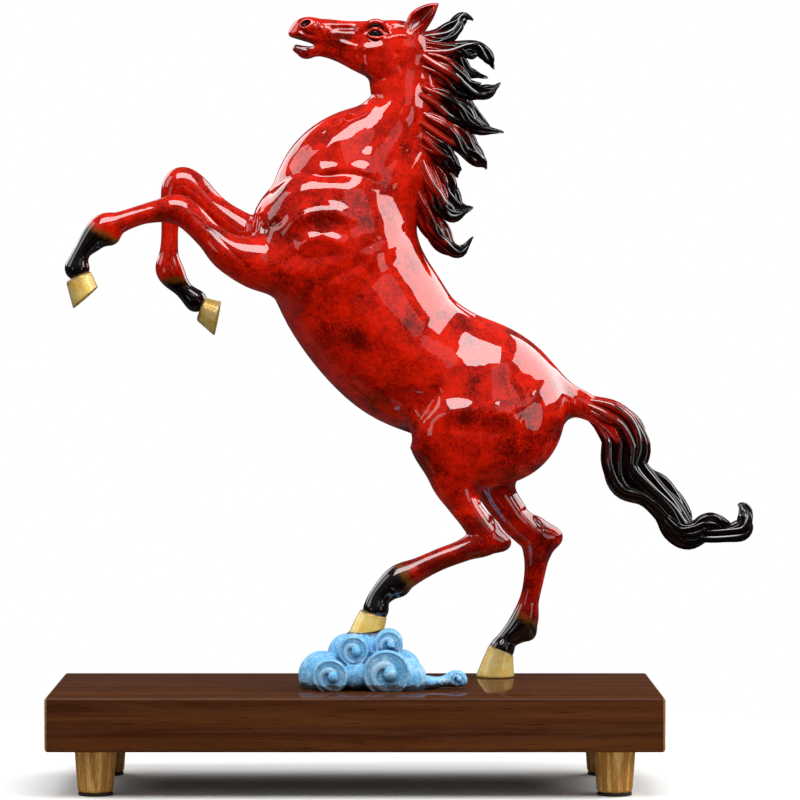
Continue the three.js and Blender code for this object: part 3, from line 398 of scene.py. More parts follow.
def blank(name):
    material = bpy.data.materials.new(name)
    material.use_nodes = True
    material.node_tree.nodes.clear()
    shader = add(material, "ShaderNodeBsdfPrincipled", {})
    add(material, "ShaderNodeOutputMaterial", {"Surface": shader.outputs["BSDF"]})
    return material, shader


def add(material, kind, inputs, **settings):
    """Adds a node, sets its settings, and sets or links each named or numbered input."""
    tree = material.node_tree
    node = tree.nodes.new(kind)
    for key, value in settings.items():
        setattr(node, key, value)
    for key, value in inputs.items():
        if isinstance(value, bpy.types.NodeSocket):
            tree.links.new(value, node.inputs[key])
        else:
            node.inputs[key].default_value = value
    return node


def in_millimetres(material, stretch=(1, 1, 1)):
    """The object's own coordinates in mm, pressed along the axes by stretch."""
    coordinates = add(material, "ShaderNodeTexCoord", {})
    scale = tuple(s / MM for s in stretch)
    return add(material, "ShaderNodeVectorMath", {0: coordinates.outputs["Object"], 1: scale},
               operation="MULTIPLY").outputs[0]


def noise(material, where, size, detail=3.0, roughness=0.55, distortion=0.0):
    """Cloudy noise whose patches are about size mm wide."""
    return add(material, "ShaderNodeTexNoise", {
        "Vector": where, "Scale": 1 / size, "Detail": detail, "Roughness": roughness,
        "Distortion": distortion}).outputs["Fac"]


def between(material, value, low, high, start=0.0, end=1.0):
    """Turns low..high into start..end with soft ends."""
    return add(material, "ShaderNodeMapRange", {0: value, 1: low, 2: high, 3: start, 4: end},
               interpolation_type="SMOOTHSTEP").outputs[0]


def maths(material, operation, *values):
    return add(material, "ShaderNodeMath", dict(enumerate(values)), operation=operation).outputs[0]


def mixed(material, amount, a, b, blend_type="MIX"):
    node = add(material, "ShaderNodeMix", {0: amount, 6: a, 7: b}, data_type="RGBA", blend_type=blend_type)
    return node.outputs[2]


def shade(material, name):
    return add(material, "ShaderNodeAttribute", {}, attribute_name=name).outputs["Fac"]


def bumped(material, height, distance, strength=1.0):
    return add(material, "ShaderNodeBump", {"Height": height, "Distance": distance, "Strength": strength}
               ).outputs["Normal"]


def red_lacquer(colours):
    """Candy lacquer over cast copper: deep gloss, red clouds in two depths, black airbrushed pasterns."""
    material, shader = blank("red_lacquer_on_cast_copper")
    where = in_millimetres(material)
    clouds = between(material, noise(material, where, 15, 5, 0.62, 0.7), 0.38, 0.64)
    mottle = between(material, noise(material, where, 3.0, 5, 0.74, 0.8), 0.38, 0.62)
    depth = maths(material, "MULTIPLY_ADD", mottle, 0.5, maths(material, "MULTIPLY", clouds, 0.7))
    colour = mixed(material, maths(material, "MINIMUM", depth, 1.0), tuple(colours.deep_red), tuple(colours.red))
    # a fine net of brighter red where the sponge lifted, and dark specks
    net = noise(material, where, 3.6, 4, 0.65, 2.8)
    net = between(material, maths(material, "ABSOLUTE", maths(material, "SUBTRACT", net, 0.5)), 0.0, 0.02, 0.5, 0.0)
    colour = mixed(material, net, colour, hex_colour("#f8401a"))
    specks = between(material, noise(material, where, 0.9, 4, 0.75, 0.6), 0.56, 0.66, 0.0, 0.75)
    colour = mixed(material, specks, colour, hex_colour("#640602"))
    smoke_and_shade = maths(material, "MULTIPLY_ADD", noise(material, where, 2.2, 5, 0.75, 1.2), 0.7,
                  maths(material, "MULTIPLY", noise(material, where, 24, 3, 0.5), 0.8))
    # painted shade: darker towards the bottom, the smoke is raised below 300 mm so the belly, the thighs and below come
    # out darker
    height = add(material, "ShaderNodeSeparateXYZ", {0: where}).outputs["Z"]
    smoke_and_shade = maths(material, "ADD", smoke_and_shade, between(material, height, 300, 170, 0.0, 0.1))
    colour = mixed(material, between(material, smoke_and_shade, 0.76, 0.92, 0.0, 0.78), colour, hex_colour("#3c0402"))
    # painted shade: the lacquer darkens deep in folds and creases, by how shut in each point is
    hollow = between(material, shade(material, "hollow"), 0.16, 0.9, 0.0, 0.85)
    colour = mixed(material, hollow, colour, hex_colour("#330301"))
    soot = maths(material, "ADD", shade(material, "soot"),
                 maths(material, "MULTIPLY_ADD", mottle, 0.16, -0.08))
    brown = between(material, soot, 0.05, 0.4, 0.0, 0.8)
    colour = mixed(material, brown, colour, hex_colour("#6a4610"))
    colour = mixed(material, between(material, soot, 0.3, 0.7), colour, tuple(colours.black))
    tree = material.node_tree
    tree.links.new(colour, shader.inputs["Base Color"])
    shader.inputs["Roughness"].default_value = 0.45
    shader.inputs["Specular IOR Level"].default_value = 0.0
    shader.inputs["Coat Weight"].default_value = 1.0
    shader.inputs["Coat Roughness"].default_value = 0.012
    shader.inputs["Coat IOR"].default_value = 1.85
    ripple = noise(material, where, 7, 1, 0.4)
    tree.links.new(bumped(material, ripple, 0.0001), shader.inputs["Coat Normal"])
    return material


def hair_lacquer(colours):
    """Black lacquer worn thin over red: dark ridges and red roots, with the valleys between the ridges darkened almost
    to black as painted shade.
    """
    material, shader = blank("black_lacquer_over_red")
    where = in_millimetres(material)
    root = shade(material, "root")
    valley = shade(material, "valley")
    strands = add(material, "ShaderNodeUVMap", {}).outputs[0]
    lines = add(material, "ShaderNodeVectorMath", {0: strands, 1: (22, 1.6, 1)}, operation="MULTIPLY").outputs[0]
    fine = noise(material, lines, 1, 3, 0.6)
    uneven = noise(material, where, 5, 3, 0.6)
    redness = maths(material, "ADD", root, maths(material, "MULTIPLY_ADD", uneven, 0.8, -0.4))
    redness = maths(material, "MULTIPLY_ADD", fine, 1.6, maths(material, "ADD", redness, -0.8))
    colour = mixed(material, between(material, redness, 0.3, 0.8), tuple(colours.black), hex_colour("#b01a08"))
    # painted shade: the valleys between the ridges go almost black
    colour = mixed(material, between(material, valley, 0.25, 0.9, 0.0, 0.75), colour, hex_colour("#120302"))
    tree = material.node_tree
    tree.links.new(colour, shader.inputs["Base Color"])
    shader.inputs["Roughness"].default_value = 0.5
    shader.inputs["Specular IOR Level"].default_value = 0.0
    tree.links.new(between(material, valley, 0.05, 0.42, 1.0, 0.08), shader.inputs["Coat Weight"])
    shader.inputs["Coat Roughness"].default_value = 0.02
    shader.inputs["Coat IOR"].default_value = 2.2
    tree.links.new(bumped(material, fine, 0.0003, 0.5), shader.inputs["Coat Normal"])
    return material


def gilding(colours):
    """Leaf gold, brushed towards the sole, toned brown at the coronet and the ground edge."""
    material, shader = blank("brushed_gilding")
    where = in_millimetres(material)
    down = shade(material, "down")
    brush = noise(material, in_millimetres(material, (1, 1, 0.12)), 0.5, 3, 0.6)
    patches = noise(material, where, 6, 3, 0.5)
    colour = mixed(material, between(material, patches, 0.35, 0.65), tuple(colours.gold), hex_colour("#fcd068"))
    colour = mixed(material, between(material, brush, 0.3, 0.7, 0.0, 0.35), colour, hex_colour("#c88a22"))
    colour = mixed(material, between(material, down, 0.15, 0.0, 0.0, 0.85), colour, hex_colour("#5a3a14"))
    colour = mixed(material, between(material, down, 0.94, 1.0, 0.0, 0.6), colour, hex_colour("#7a4e16"))
    tree = material.node_tree
    tree.links.new(colour, shader.inputs["Base Color"])
    tree.links.new(between(material, brush, 0.3, 0.7, 0.26, 0.38), shader.inputs["Roughness"])
    shader.inputs["Metallic"].default_value = 0.3
    tree.links.new(bumped(material, brush, 0.00006), shader.inputs["Normal"])
    return material


def eye_glass():
    """Blown black glass bead: almost black with a hard, clear gloss."""
    material, shader = blank("black_glass")
    where = in_millimetres(material)
    iris = noise(material, where, 1.5, 2, 0.5)
    colour = mixed(material, iris, hex_colour("#050506"), hex_colour("#17110f"))
    material.node_tree.links.new(colour, shader.inputs["Base Color"])
    shader.inputs["Roughness"].default_value = 0.05
    shader.inputs["Coat Weight"].default_value = 1.0
    shader.inputs["Coat Roughness"].default_value = 0.01
    return material


def cloud_enamel(colours):
    """Cold enamel sponged on a hammered casting: pale rims, hollows darkened to deep blue as painted shade, greyer
    towards the foot and round the hoof.
    """
    material, shader = blank("sponged_blue_enamel")
    where = in_millimetres(material)
    hollow = shade(material, "hollow")
    proud = shade(material, "proud")
    grime = shade(material, "grime")
    speckle = noise(material, where, 1.5, 3, 0.8)
    patches = noise(material, where, 6, 3, 0.6)
    colour = mixed(material, between(material, patches, 0.46, 0.76), tuple(colours.blue), hex_colour("#bfe4fb"))
    colour = mixed(material, between(material, speckle, 0.52, 0.62, 0.0, 0.7), colour, hex_colour("#3f88bd"))
    colour = mixed(material, between(material, speckle, 0.46, 0.36, 0.0, 0.5), colour, hex_colour("#dff2fd"))
    # painted shade: the hollows darken to deep blue
    colour = mixed(material, between(material, hollow, 0.36, 0.8, 0.0, 0.85), colour, hex_colour("#1f5f92"))
    worn = maths(material, "MULTIPLY_ADD", speckle, 0.9, maths(material, "ADD", proud, -0.5))
    colour = mixed(material, between(material, worn, 0.4, 0.7, 0.0, 0.3), colour, hex_colour("#dcedf7"))
    # greyer towards the foot of the cloud and round the hoof's seat, broken up by the patches and the speckle
    grey_patches = maths(material, "MULTIPLY_ADD", patches, 1.2, maths(material, "MULTIPLY_ADD", speckle, 0.8, -1.0))
    grey_patches = maths(material, "ADD", grime, grey_patches)
    colour = mixed(material, between(material, grey_patches, 0.3, 0.7, 0.0, 0.95), colour, hex_colour("#3b3a3d"))
    tree = material.node_tree
    tree.links.new(colour, shader.inputs["Base Color"])
    tree.links.new(between(material, speckle, 0.3, 0.7, 0.4, 0.65), shader.inputs["Roughness"])
    tree.links.new(bumped(material, speckle, 0.0007, 0.9), shader.inputs["Normal"])
    return material


def walnut_wood(colours):
    """Waxed walnut: long straight grain, darker pores, a thin clear coat that mirrors at a low angle."""
    material, shader = blank("waxed_walnut")
    grain = noise(material, in_millimetres(material, (0.03, 1, 1)), 4.5, 6, 0.62, 0.8)
    fine = noise(material, in_millimetres(material, (0.04, 1, 1)), 0.7, 3, 0.6)
    band = noise(material, in_millimetres(material, (0.01, 1, 1)), 9, 2, 0.5)
    colour = mixed(material, between(material, grain, 0.36, 0.64), hex_colour("#3b1d0f"), tuple(colours.walnut))
    colour = mixed(material, between(material, band, 0.4, 0.65, 0.0, 0.28), colour, hex_colour("#75411a"))
    colour = mixed(material, between(material, fine, 0.55, 0.7, 0.0, 0.6), colour, hex_colour("#200f07"))
    # painted highlight: a pale tan line along the middle of the eased edges, broken by the fine grain
    edge_highlight = maths(material, "MULTIPLY_ADD", fine, 1.2, maths(material, "ADD", shade(material, "edge_highlight"), -0.9))
    colour = mixed(material, between(material, edge_highlight, 0.3, 0.8, 0.0, 0.6), colour, hex_colour("#b98a5c"))
    tree = material.node_tree
    tree.links.new(colour, shader.inputs["Base Color"])
    tree.links.new(between(material, fine, 0.3, 0.7, 0.42, 0.55), shader.inputs["Roughness"])
    shader.inputs["Specular IOR Level"].default_value = 0.0
    shader.inputs["Coat Weight"].default_value = 0.42
    shader.inputs["Coat Roughness"].default_value = 0.06
    shader.inputs["Coat IOR"].default_value = 1.4
    tree.links.new(bumped(material, fine, 0.00008, 0.6), shader.inputs["Normal"])
    return material


def turned_brass(colours):
    """Brass turned on a lathe and brushed lengthwise, with browner vertical streaks painted in as a streaked
    reflection.
    """
    material, shader = blank("turned_brass")
    lengthwise = in_millimetres(material, (1, 1, 0.004))
    brushing = noise(material, lengthwise, 0.6, 3, 0.6)
    # painted reflection: browner vertical streaks like the dark bands that a turned foot mirrors
    reflection_streaks = noise(material, lengthwise, 4, 3, 0.55)
    colour = mixed(material, between(material, reflection_streaks, 0.4, 0.56), tuple(colours.brass), hex_colour("#cf8a42"))
    tree = material.node_tree
    tree.links.new(colour, shader.inputs["Base Color"])
    shader.inputs["Metallic"].default_value = 0.35
    tree.links.new(between(material, brushing, 0.3, 0.7, 0.2, 0.34), shader.inputs["Roughness"])
    tree.links.new(bumped(material, brushing, 0.00004, 0.5), shader.inputs["Normal"])
    return material


def dark_rubber():
    """Moulded rubber, matt and slightly grained."""
    material, shader = blank("dark_rubber")
    grain = noise(material, in_millimetres(material), 0.4, 2, 0.5)
    colour = mixed(material, grain, hex_colour("#221815"), hex_colour("#32241f"))
    tree = material.node_tree
    tree.links.new(colour, shader.inputs["Base Color"])
    shader.inputs["Roughness"].default_value = 0.75
    tree.links.new(bumped(material, grain, 0.0001, 0.5), shader.inputs["Normal"])
    return material


def zinc_steel():
    """Zinc plated screw steel, with a fine drawn grain."""
    material, shader = blank("zinc_plated_steel")
    grain = noise(material, in_millimetres(material, (1, 1, 0.1)), 0.3, 2, 0.5)
    colour = mixed(material, grain, hex_colour("#9a9ea1"), hex_colour("#b9bcbd"))
    tree = material.node_tree
    tree.links.new(colour, shader.inputs["Base Color"])
    shader.inputs["Metallic"].default_value = 1.0
    tree.links.new(between(material, grain, 0.3, 0.7, 0.3, 0.45), shader.inputs["Roughness"])
    return material


def material_once(maker, *settings):
    """Makes each material the first time that a piece asks for it."""
    made = bpy.context.scene.get("horse_materials", {})
    name = made.get(maker.__name__) if made else None
    if name and name in bpy.data.materials:
        return bpy.data.materials[name]
    material = maker(*settings)
    store = dict(made)
    store[maker.__name__] = material.name
    bpy.context.scene["horse_materials"] = store
    return material


# The horse's forms: stations of x, y, z, radius and half width in mm, from the middle of the board's top

LIMBS = [
    # barrel
    (0, [[-24, 0, 280, 39, 32], [2, 0, 246, 48.5, 37], [28, 0, 213, 46.5, 38], [57, 0, 196, 43, 36],
         [88, 0, 182, 42, 36], [104, 0, 178, 31, 30]]),
    # neck
    (14, [[30, 0, 403, 16, 13.5], [29, 0, 384, 20, 14.5], [29.5, 0, 367, 19.5, 16.5], [20, 0, 347, 27, 19.5],
          [8, 0, 327, 38, 24], [-3, 0, 310, 44, 29], [-10, 0, 290, 45, 32]]),
    # crest that carries the mane
    (6, [[38, 0, 408, 4, 5], [45, 0, 398, 4.8, 5.5], [47, 0, 380, 5.4, 6], [46.5, 0, 358, 6.2, 7],
         [43, 0, 334, 7, 8], [36, 0, 312, 8, 9], [29, 0, 292, 6, 8]]),
    # skull
    (6, [[-34.6, 0, 415, 7.2, 8.4], [-22, 0, 413.8, 9.2, 8], [-5, 0, 411.4, 10.2, 8.4],
         [10, 0, 409, 12.6, 11.5], [24, 0, 406.4, 15.2, 12.5], [34, 0, 403, 14, 11]]),
    # jaw
    (3, [[-37.5, 0, 403.8, 2.8, 5], [-31, 0, 402, 4, 6], [-22, 0, 403.3, 4.6, 5.5], [-10, 0, 402, 6.8, 7],
         [4, 0, 399, 10.6, 9], [15, 0, 396, 12.6, 10]]),
    # near foreleg
    (9, [[-44, -18, 268, 23, 16], [-62, -21, 267, 17, 14], [-80, -23, 273, 12, 11.5],
         [-92, -23, 283.5, 9, 9.2], [-104, -23, 295.5, 9.2, 9.3], [-113, -23, 300.5, 9.6, 9.5],
         [-125, -22.5, 299.5, 7.2, 7.4], [-140, -22, 295.5, 6.5, 6.6], [-150, -22, 292, 7, 6.6],
         [-160.5, -22, 287.5, 9.4, 8.4], [-172.5, -22, 273.5, 6, 6.8], [-176, -22, 263.5, 8, 8.6]]),
    # off foreleg
    (9, [[-40, 18, 278, 22, 16], [-62, 20, 282, 14, 13], [-78, 21, 291, 11.4, 11], [-92, 21, 302, 9.8, 9.5],
         [-106, 21, 316, 10.4, 9.5], [-113.5, 21, 317.5, 10.6, 9.5], [-118, 21, 306, 7.6, 8],
         [-119.3, 21, 293, 5.8, 6.6], [-119.8, 21, 280, 5.7, 6.2], [-120.3, 21, 271, 6.6, 6.6],
         [-119.4, 21, 262, 9, 8.4], [-111, 21, 250.5, 5.8, 6.8], [-103, 21, 243, 7.4, 8]]),
    # near hind leg
    (8, [[66, -20, 152, 24, 15], [61.5, -22, 132, 15, 13], [68, -23, 116, 10.6, 10.5],
         [75.5, -24, 104.5, 9.4, 9.5], [83, -25, 93.5, 10.6, 9.5], [70, -26, 86, 7.4, 7.4],
         [54, -27, 79.8, 6.9, 6.6], [40, -28, 73.4, 7.5, 6.6], [27, -29, 66.8, 9.2, 8.6],
         [15.6, -30, 56.2, 7, 6.8], [13, -30, 48.5, 8.2, 8.8]]),
    # off hind leg
    (8, [[80, 20, 152, 24, 15], [85.5, 22, 129, 13, 12.6], [97, 23, 110, 11, 10.5], [107, 25, 98, 10.4, 9.5],
         [117, 26, 90, 11.6, 9.5], [116.6, 27, 76, 7.9, 7.4], [114.8, 28, 62, 6.5, 6.6],
         [112, 29, 49, 6.5, 6.6], [108, 30, 34, 9.2, 8.6], [98.5, 30, 24.5, 6.6, 6.8],
         [94.5, 30, 18, 8.2, 8.8]]),
    # dock of the tail
    (9, [[120, 0, 181, 15, 12], [135, 0, 179.5, 10.5, 8.5], [147, 0, 175.5, 8.4, 7.6], [156, 0, 170, 7.2, 6.8],
         [163, 0, 162.5, 5.6, 6.6], [167.4, 0, 154.4, 3.4, 5.6]]),
]

# Muscles: side, centre, radii, tilt in the side view, blend
MUSCLES = [
    (BOTH, [-36, 9, 292], [26, 18, 22], 0, 12),
    (BOTH, [-16, 2, 331], [35, 22, 21], 42, 10),
    (BOTH, [-12, 20, 291], [40, 16, 30], -35, 10),
    (BOTH, [-14, 24, 265], [34, 13, 20], 20, 10),
    (BOTH, [85, 18, 165.5], [45.5, 23, 40], 0, 12),
    (BOTH, [58, 21, 160], [23.5, 16, 27], 20, 10),
    (BOTH, [88, 12, 202], [32, 22, 20], -34, 12),
    (BOTH, [17, 7.6, 397], [14, 5.4, 13], 0, 5),
    (BOTH, [-29, 4.6, 418], [8, 5.2, 5.6], -12, 4),
    (NEAR, [92.5, -25, 90.2], [6.2, 6, 5.8], 0, 5),
    (OFF, [127, 26, 90.5], [6.8, 6, 6.4], 0, 5),
    (NEAR, [-154.5, -22, 283.5], [5.5, 5.5, 5.5], 0, 4),
    (NEAR, [28.2, -29.5, 61.4], [5.6, 5.4, 5.2], 0, 3),
    (OFF, [111.6, 30, 28.6], [5.2, 5.2, 5.4], 0, 3),
]

# Grooves of the body in the side view: side, depth, widths left and right of the line, points, soft
BODY_GROOVES = [
    (BOTH, 1.9, (5, 2.6), [[-56, 306], [-51, 314.5], [-43, 320], [-32, 323], [-20, 321.5], [-8, 322.5],
                           [2, 322], [10, 319], [19, 314]], False),
    (BOTH, 1.5, (3, 3), [[-60, 298], [-58.5, 290], [-56.5, 280], [-54, 266]], False),
    (BOTH, 1.3, (3, 2), [[-59, 288], [-53, 289.5], [-47, 292.5], [-43, 298]], False),
    (BOTH, 1.2, (2.6, 4), [[-46, 264], [-38, 272], [-30.5, 269.5], [-13, 271.5], [-1, 273.5]], False),
    (BOTH, 1.4, (3, 4.5), [[19, 282], [3.6, 274], [1.7, 265.4], [-18.5, 254], [-40, 239.5]], False),
    (BOTH, -1.3, (4.5, 3.5), [[-32, 321], [-20, 324.5], [-6, 326], [6, 324], [14, 318]], True),
    (BOTH, -0.9, (4, 4.5), [[-50, 305], [-36, 312.5], [-20, 315], [-4, 314], [12, 317]], True),
    (BOTH, -1.4, (4.5, 4.5), [[-50, 287], [-38, 294], [-24, 299.5], [-10, 298], [0, 290]], True),
    (BOTH, 0.6, (1.8, 1.8), [[-42, 294], [-32, 299.5], [-22, 302.4], [-13, 301]], True),
    (BOTH, -1.9, (4, 4), [[-38, 277], [-28, 281.5], [-16, 281.5], [-6, 277]], True),
    (BOTH, -1.2, (7, 7), [[-28, 336], [-16, 345], [-6, 352.5], [4, 359], [14, 365]], True),
    (BOTH, 1.1, (3.5, 3.5), [[9, 368], [-6, 358], [-24, 343], [-42, 326]], True),
    (BOTH, 0.45, (6, 6), [[28, 361], [17, 351], [5, 341], [-8, 335]], True),
    (BOTH, 0.6, (4.5, 4.5), [[35, 366], [32, 345], [23, 330], [12, 319]], True),
    (BOTH, 0.8, (4, 4), [[42, 384], [40, 360], [34, 336], [25, 320]], True),
    (BOTH, 2.5, (18, 15), [[50, 234], [68, 221], [90, 208], [116, 186]], True),
    (BOTH, 3.0, (2.2, 9), [[50, 190], [50.5, 183], [45, 174], [39, 164], [36, 150]], False),
    (BOTH, -2.6, (6.5, 6), [[44, 168], [56, 172], [72, 174], [88, 173], [104, 167]], True),
    (BOTH, 0.9, (5, 4), [[58, 163], [72, 161.5], [88, 161], [101, 163]], True),
    (BOTH, 0.5, (6, 6), [[108, 196], [109, 186], [112, 172], [118, 157]], True),
]

HEAD_GROOVES = [
    (BOTH, 1.0, (1.6, 1.6), [[-16, 415.6], [-9, 416.1], [2, 415.5]], True),
    (BOTH, -0.5, (1.4, 1.4), [[-22, 419.4], [-8, 419.6], [7, 420]], True),
    (BOTH, -1.5, (2.4, 3), [[-18, 409.8], [-9, 406.8], [0, 404], [9, 403.2], [20, 404.6]], True),
    (BOTH, 0.5, (2.6, 2.6), [[1, 402], [2, 395], [3.6, 389.6], [8.5, 385], [17, 383.4], [28, 385]], True),
    (BOTH, 0.5, (1.8, 1.8), [[26, 402], [28, 394], [30, 387]], True),
    (BOTH, -0.45, (0.9, 0.9), [[-26.6, 421.8], [-25.4, 418.4], [-26.6, 415]], True),
    (BOTH, -0.4, (0.9, 0.9), [[-24.2, 421.6], [-22.8, 418], [-21, 415]], True),
    (BOTH, -0.55, (1.5, 1.5), [[-38.6, 417], [-36, 413.2], [-31.5, 410.8], [-26, 409.5], [-20, 408.2]], True),
    (BOTH, 0.45, (1.3, 1.3), [[-35.4, 416], [-31, 412.8], [-24, 411.2]], True),
    (BOTH, -0.35, (0.7, 0.7), [[-40.6, 406.8], [-36.4, 405.9], [-31, 404.4], [-27, 403.4]], True),
    (BOTH, 1.3, (2.6, 2.6), [[19, 411], [22, 414.5], [27, 416.5], [33, 415.5]], True),
    (BOTH, -0.8, (1.6, 1.6), [[17, 408.6], [23, 410.6], [30, 411.6], [37, 410]], True),
]

LEG_GROOVES = [
    (NEAR, 0.7, (1.6, 2.4), [[-104, 298], [-88, 284.5], [-72, 268], [-56, 253]], False),
    (NEAR, 0.6, (1.5, 1.5), [[-118, 296.5], [-130, 293], [-146, 288.5]], True),
    (NEAR, 0.7, (1.6, 1.6), [[-160, 281], [-167, 272], [-170, 264]], True),
    (OFF, 0.6, (1.4, 1.4), [[-113, 306], [-115.6, 292], [-116, 276]], True),
    (NEAR, 0.9, (1.8, 1.8), [[79, 116], [84, 106], [88, 98]], True),
    (NEAR, 0.6, (1.5, 1.5), [[74, 83.6], [58, 77], [42, 69.6]], True),
    (NEAR, 0.6, (1.4, 1.4), [[24, 62], [18, 54]], True),
    (OFF, 0.9, (1.8, 1.8), [[108, 110], [115, 101], [121, 95]], True),
    (OFF, 0.6, (1.5, 1.5), [[117.5, 80], [117, 64], [113.5, 46]], True),
]

# Seams: the part of the side view that belongs to the smaller casting, and its side
SEAMS = {
    "head": (BOTH, [[-70, 374], [70, 374], [70, 450], [-70, 450]]),
    "near_fore": (NEAR, [[-70, 200], [-70, 350], [-210, 350], [-210, 200]]),
    "off_fore": (OFF, [[-70, 200], [-70, 350], [-210, 350], [-210, 200]]),
    "near_hind": (NEAR, [[40, 95.7], [84, 120.5], [86, 112], [125, 104], [125, 20], [-25, 20], [-25, 95.7]]),
    "off_hind": (OFF, [[67, 105.3], [110, 128], [112, 118], [150, 110], [150, -5], [50, -5], [50, 96.3]]),
    "tail": (BOTH, [[145.2, 195], [137.9, 162], [137.9, 60], [270, 60], [270, 195]]),
}

# Where the black starts on each leg: a point, the way into the black, and how softly
SOOT = {
    "near_fore": ([-159, 283.5], [-0.49, -0.87], 11),
    "off_fore": ([-113, 255], [0.1, -0.995], 11),
    "near_hind": ([30.5, 68], [-0.8, -0.6], 13),
    "off_hind": ([105, 38.5], [-0.47, -0.88], 12),
}

# Hooves: y, coronet, its toe direction and half sizes, sole, its toe direction and half sizes
HOOVES = {
    "near_fore": (-22, (-174.7, 258.2), (-0.91, -0.41), (9.1, 8.8), (-170.2, 245.2), (-0.751, -0.66), (11, 10.5)),
    "off_fore": (21, (-99.3, 238), (-0.33, -0.944), (8.5, 8.4), (-88.7, 232.2), (-0.19, -0.982), (12, 10.5)),
    "near_hind": (-30, (12, 45.5), (-0.963, 0.268), (9.3, 9.2), (7.5, 34.3), (-0.99, -0.14), (12.2, 11.5)),
    "off_hind": (30, (94.6, 17.6), (-0.913, 0.408), (8.9, 9.2), (90.8, 0.2), (-1, 0), (13.2, 12)),
}

CAD_NAMES = {
    "near_fore": "foreleg_left", "off_fore": "foreleg_right",
    "near_hind": "hindleg_left", "off_hind": "hindleg_right",
}

EYE = (12.7, 9.6, 412.7)


def ear(clay, side):
    clay.limb(2, [[34, side * 6, 407, 6, 4.6], [37, side * 7.4, 415, 5.8, 4], [40, side * 8.4, 421, 7, 3.8],
                  [46, side * 9.4, 426.8, 4.8, 2.6], [52.4, side * 10, 431.8, 0.7, 0.8]])


def ear_hollow(clay, side):
    """Scoops the ear out from its outer side."""
    scoop = Clay(clay.low, clay.low + (np.array(clay.field.shape) - 1) * clay.cell, clay.cell)
    scoop.limb(0, [[35.4, side * 12.6, 415.4, 1.6, 2.4], [38.8, side * 12.2, 421, 4.2, 4],
                   [44, side * 12.2, 426, 3.2, 3], [49.4, side * 11.6, 430, 0.7, 1]])
    shape = scoop.field[:clay.field.shape[0], :clay.field.shape[1], :clay.field.shape[2]]
    clay.field = -smooth_union(-clay.field, shape, 0.8)


def sculpted(low, high, cell):
    """The horse's clay inside a box."""
    clay = Clay(low, high, cell)
    for blend, stations in LIMBS:
        clay.limb(blend, stations)
    for muscle in MUSCLES:
        clay.muscle(*muscle)
    clay.relax(0.85)
    for groove in BODY_GROOVES + LEG_GROOVES:
        clay.score(*groove)
    return clay


def details_of_head(clay):
    """Ears, eyelids, brow, nostrils, mouth and chin."""
    x, y, z = EYE
    clay.muscle(BOTH, [-31.5, 2, 400.4], [4.6, 3.2, 2.8], 0, 2)
    clay.limb(2.5, [[-39.6, 0, 413.6, 3, 5.6], [-38.4, 0, 412.4, 3, 6.4], [-33, 0, 411, 3, 7]])
    clay.muscle(BOTH, [-38.6, 0, 408.7], [12.4, 14, 1.7], -14, 0.8, -1)
    for side in (-1, 1):
        ear(clay, side)
        ear_hollow(clay, side)
        clay.limb(3, [[2, side * 8.2, 415.6, 1.4, 1.4], [8, side * 9.6, 418.8, 2, 2],
                      [13, side * 10.2, 420.2, 2.1, 2.1], [18, side * 10.2, 418.6, 1.9, 1.9],
                      [22, side * 10.6, 414, 1.2, 1.2]])
    for groove in HEAD_GROOVES:
        clay.score(*groove)
    clay.muscle(BOTH, [x, y + 3, z], [5.4, 2.4, 4.4], 0, 1.2, -1)
    for side in (-1, 1):
        clay.limb(0.7, [[7.2, side * 11.6, 411.8, 0.5, 0.5], [9.7, side * 13, 414.6, 1.0, 1.0],
                        [13, side * 13.7, 415.5, 1.2, 1.2], [16.2, side * 13.1, 414, 1.0, 1.0],
                        [18.6, side * 12, 410.8, 0.5, 0.5]])
        clay.limb(0.7, [[7.2, side * 11.6, 411.8, 0.5, 0.5], [10, side * 12.9, 410.4, 1.0, 1.0],
                        [13.1, side * 13.4, 409.8, 1.1, 1.1], [16.2, side * 12.7, 410.1, 1.0, 1.0],
                        [18.6, side * 12, 410.8, 0.5, 0.5]])
    clay.muscle(BOTH, [x, y, z], [4.05, 4.05, 4.05], 0, 0.2, -1)
    clay.muscle(BOTH, [-31.6, 8, 419.2], [3.4, 3, 1.9], 26, 0.8, -1)
    for side in (-1, 1):
        clay.limb(0.7, [[-35.2, side * 7.4, 416.6, 0.5, 0.5], [-32, side * 8.4, 416.4, 0.8, 0.8],
                        [-28.6, side * 8.5, 418, 1.0, 1.0], [-27.6, side * 7.6, 421, 0.8, 0.8],
                        [-29.4, side * 6.4, 422.6, 0.5, 0.5]])


def seam_field(clay, side, outline, spare=0.0):
    """Distance to a casting's share of the horse, negative inside."""
    x, y, z = clay.axes
    share = outline_distance(outline, x[:, None], z[None, :])[:, None, :]
    if side != BOTH:
        share = np.maximum(share, -side * y[None, :, None])
    return share - spare


def casting(name, origin, clay, solid, material, replaces, soot=None):
    points, quads, normals = clay.skin(solid)
    black = np.zeros(len(points))
    if soot:
        (px, pz), (dx, dz), softness = soot
        black = ((points[:, 0] - px) * dx + (points[:, 2] - pz) * dz) / softness + 0.5
    mesh = cast_mesh(name, origin, points, quads, normals, {
        "hollow": clay.hollow(points, normals, 6), "soot": np.clip(black, 0, 1)})
    return finished(name, mesh, material, replaces)


# Operators


class HORSE_OT_body(bpy.types.Operator):
    """Sculpt the body casting, from the throat to the dock"""

    bl_idname = "horse.body"
    bl_label = "Body"

    def execute(self, context):
        cell = context.scene.horse_sculpt.body_cell / MM
        clay = sculpted([-84, -56, 90], [156, 56, 388], cell)
        solid = clay.field
        for side, outline in SEAMS.values():
            solid = np.maximum(solid, -seam_field(clay, side, outline))
        lacquer = material_once(red_lacquer, context.scene.horse_colours)
        casting("body_skin", HORSE_ORIGIN, clay, solid, lacquer, ["body_casting"])
        return {"FINISHED"}


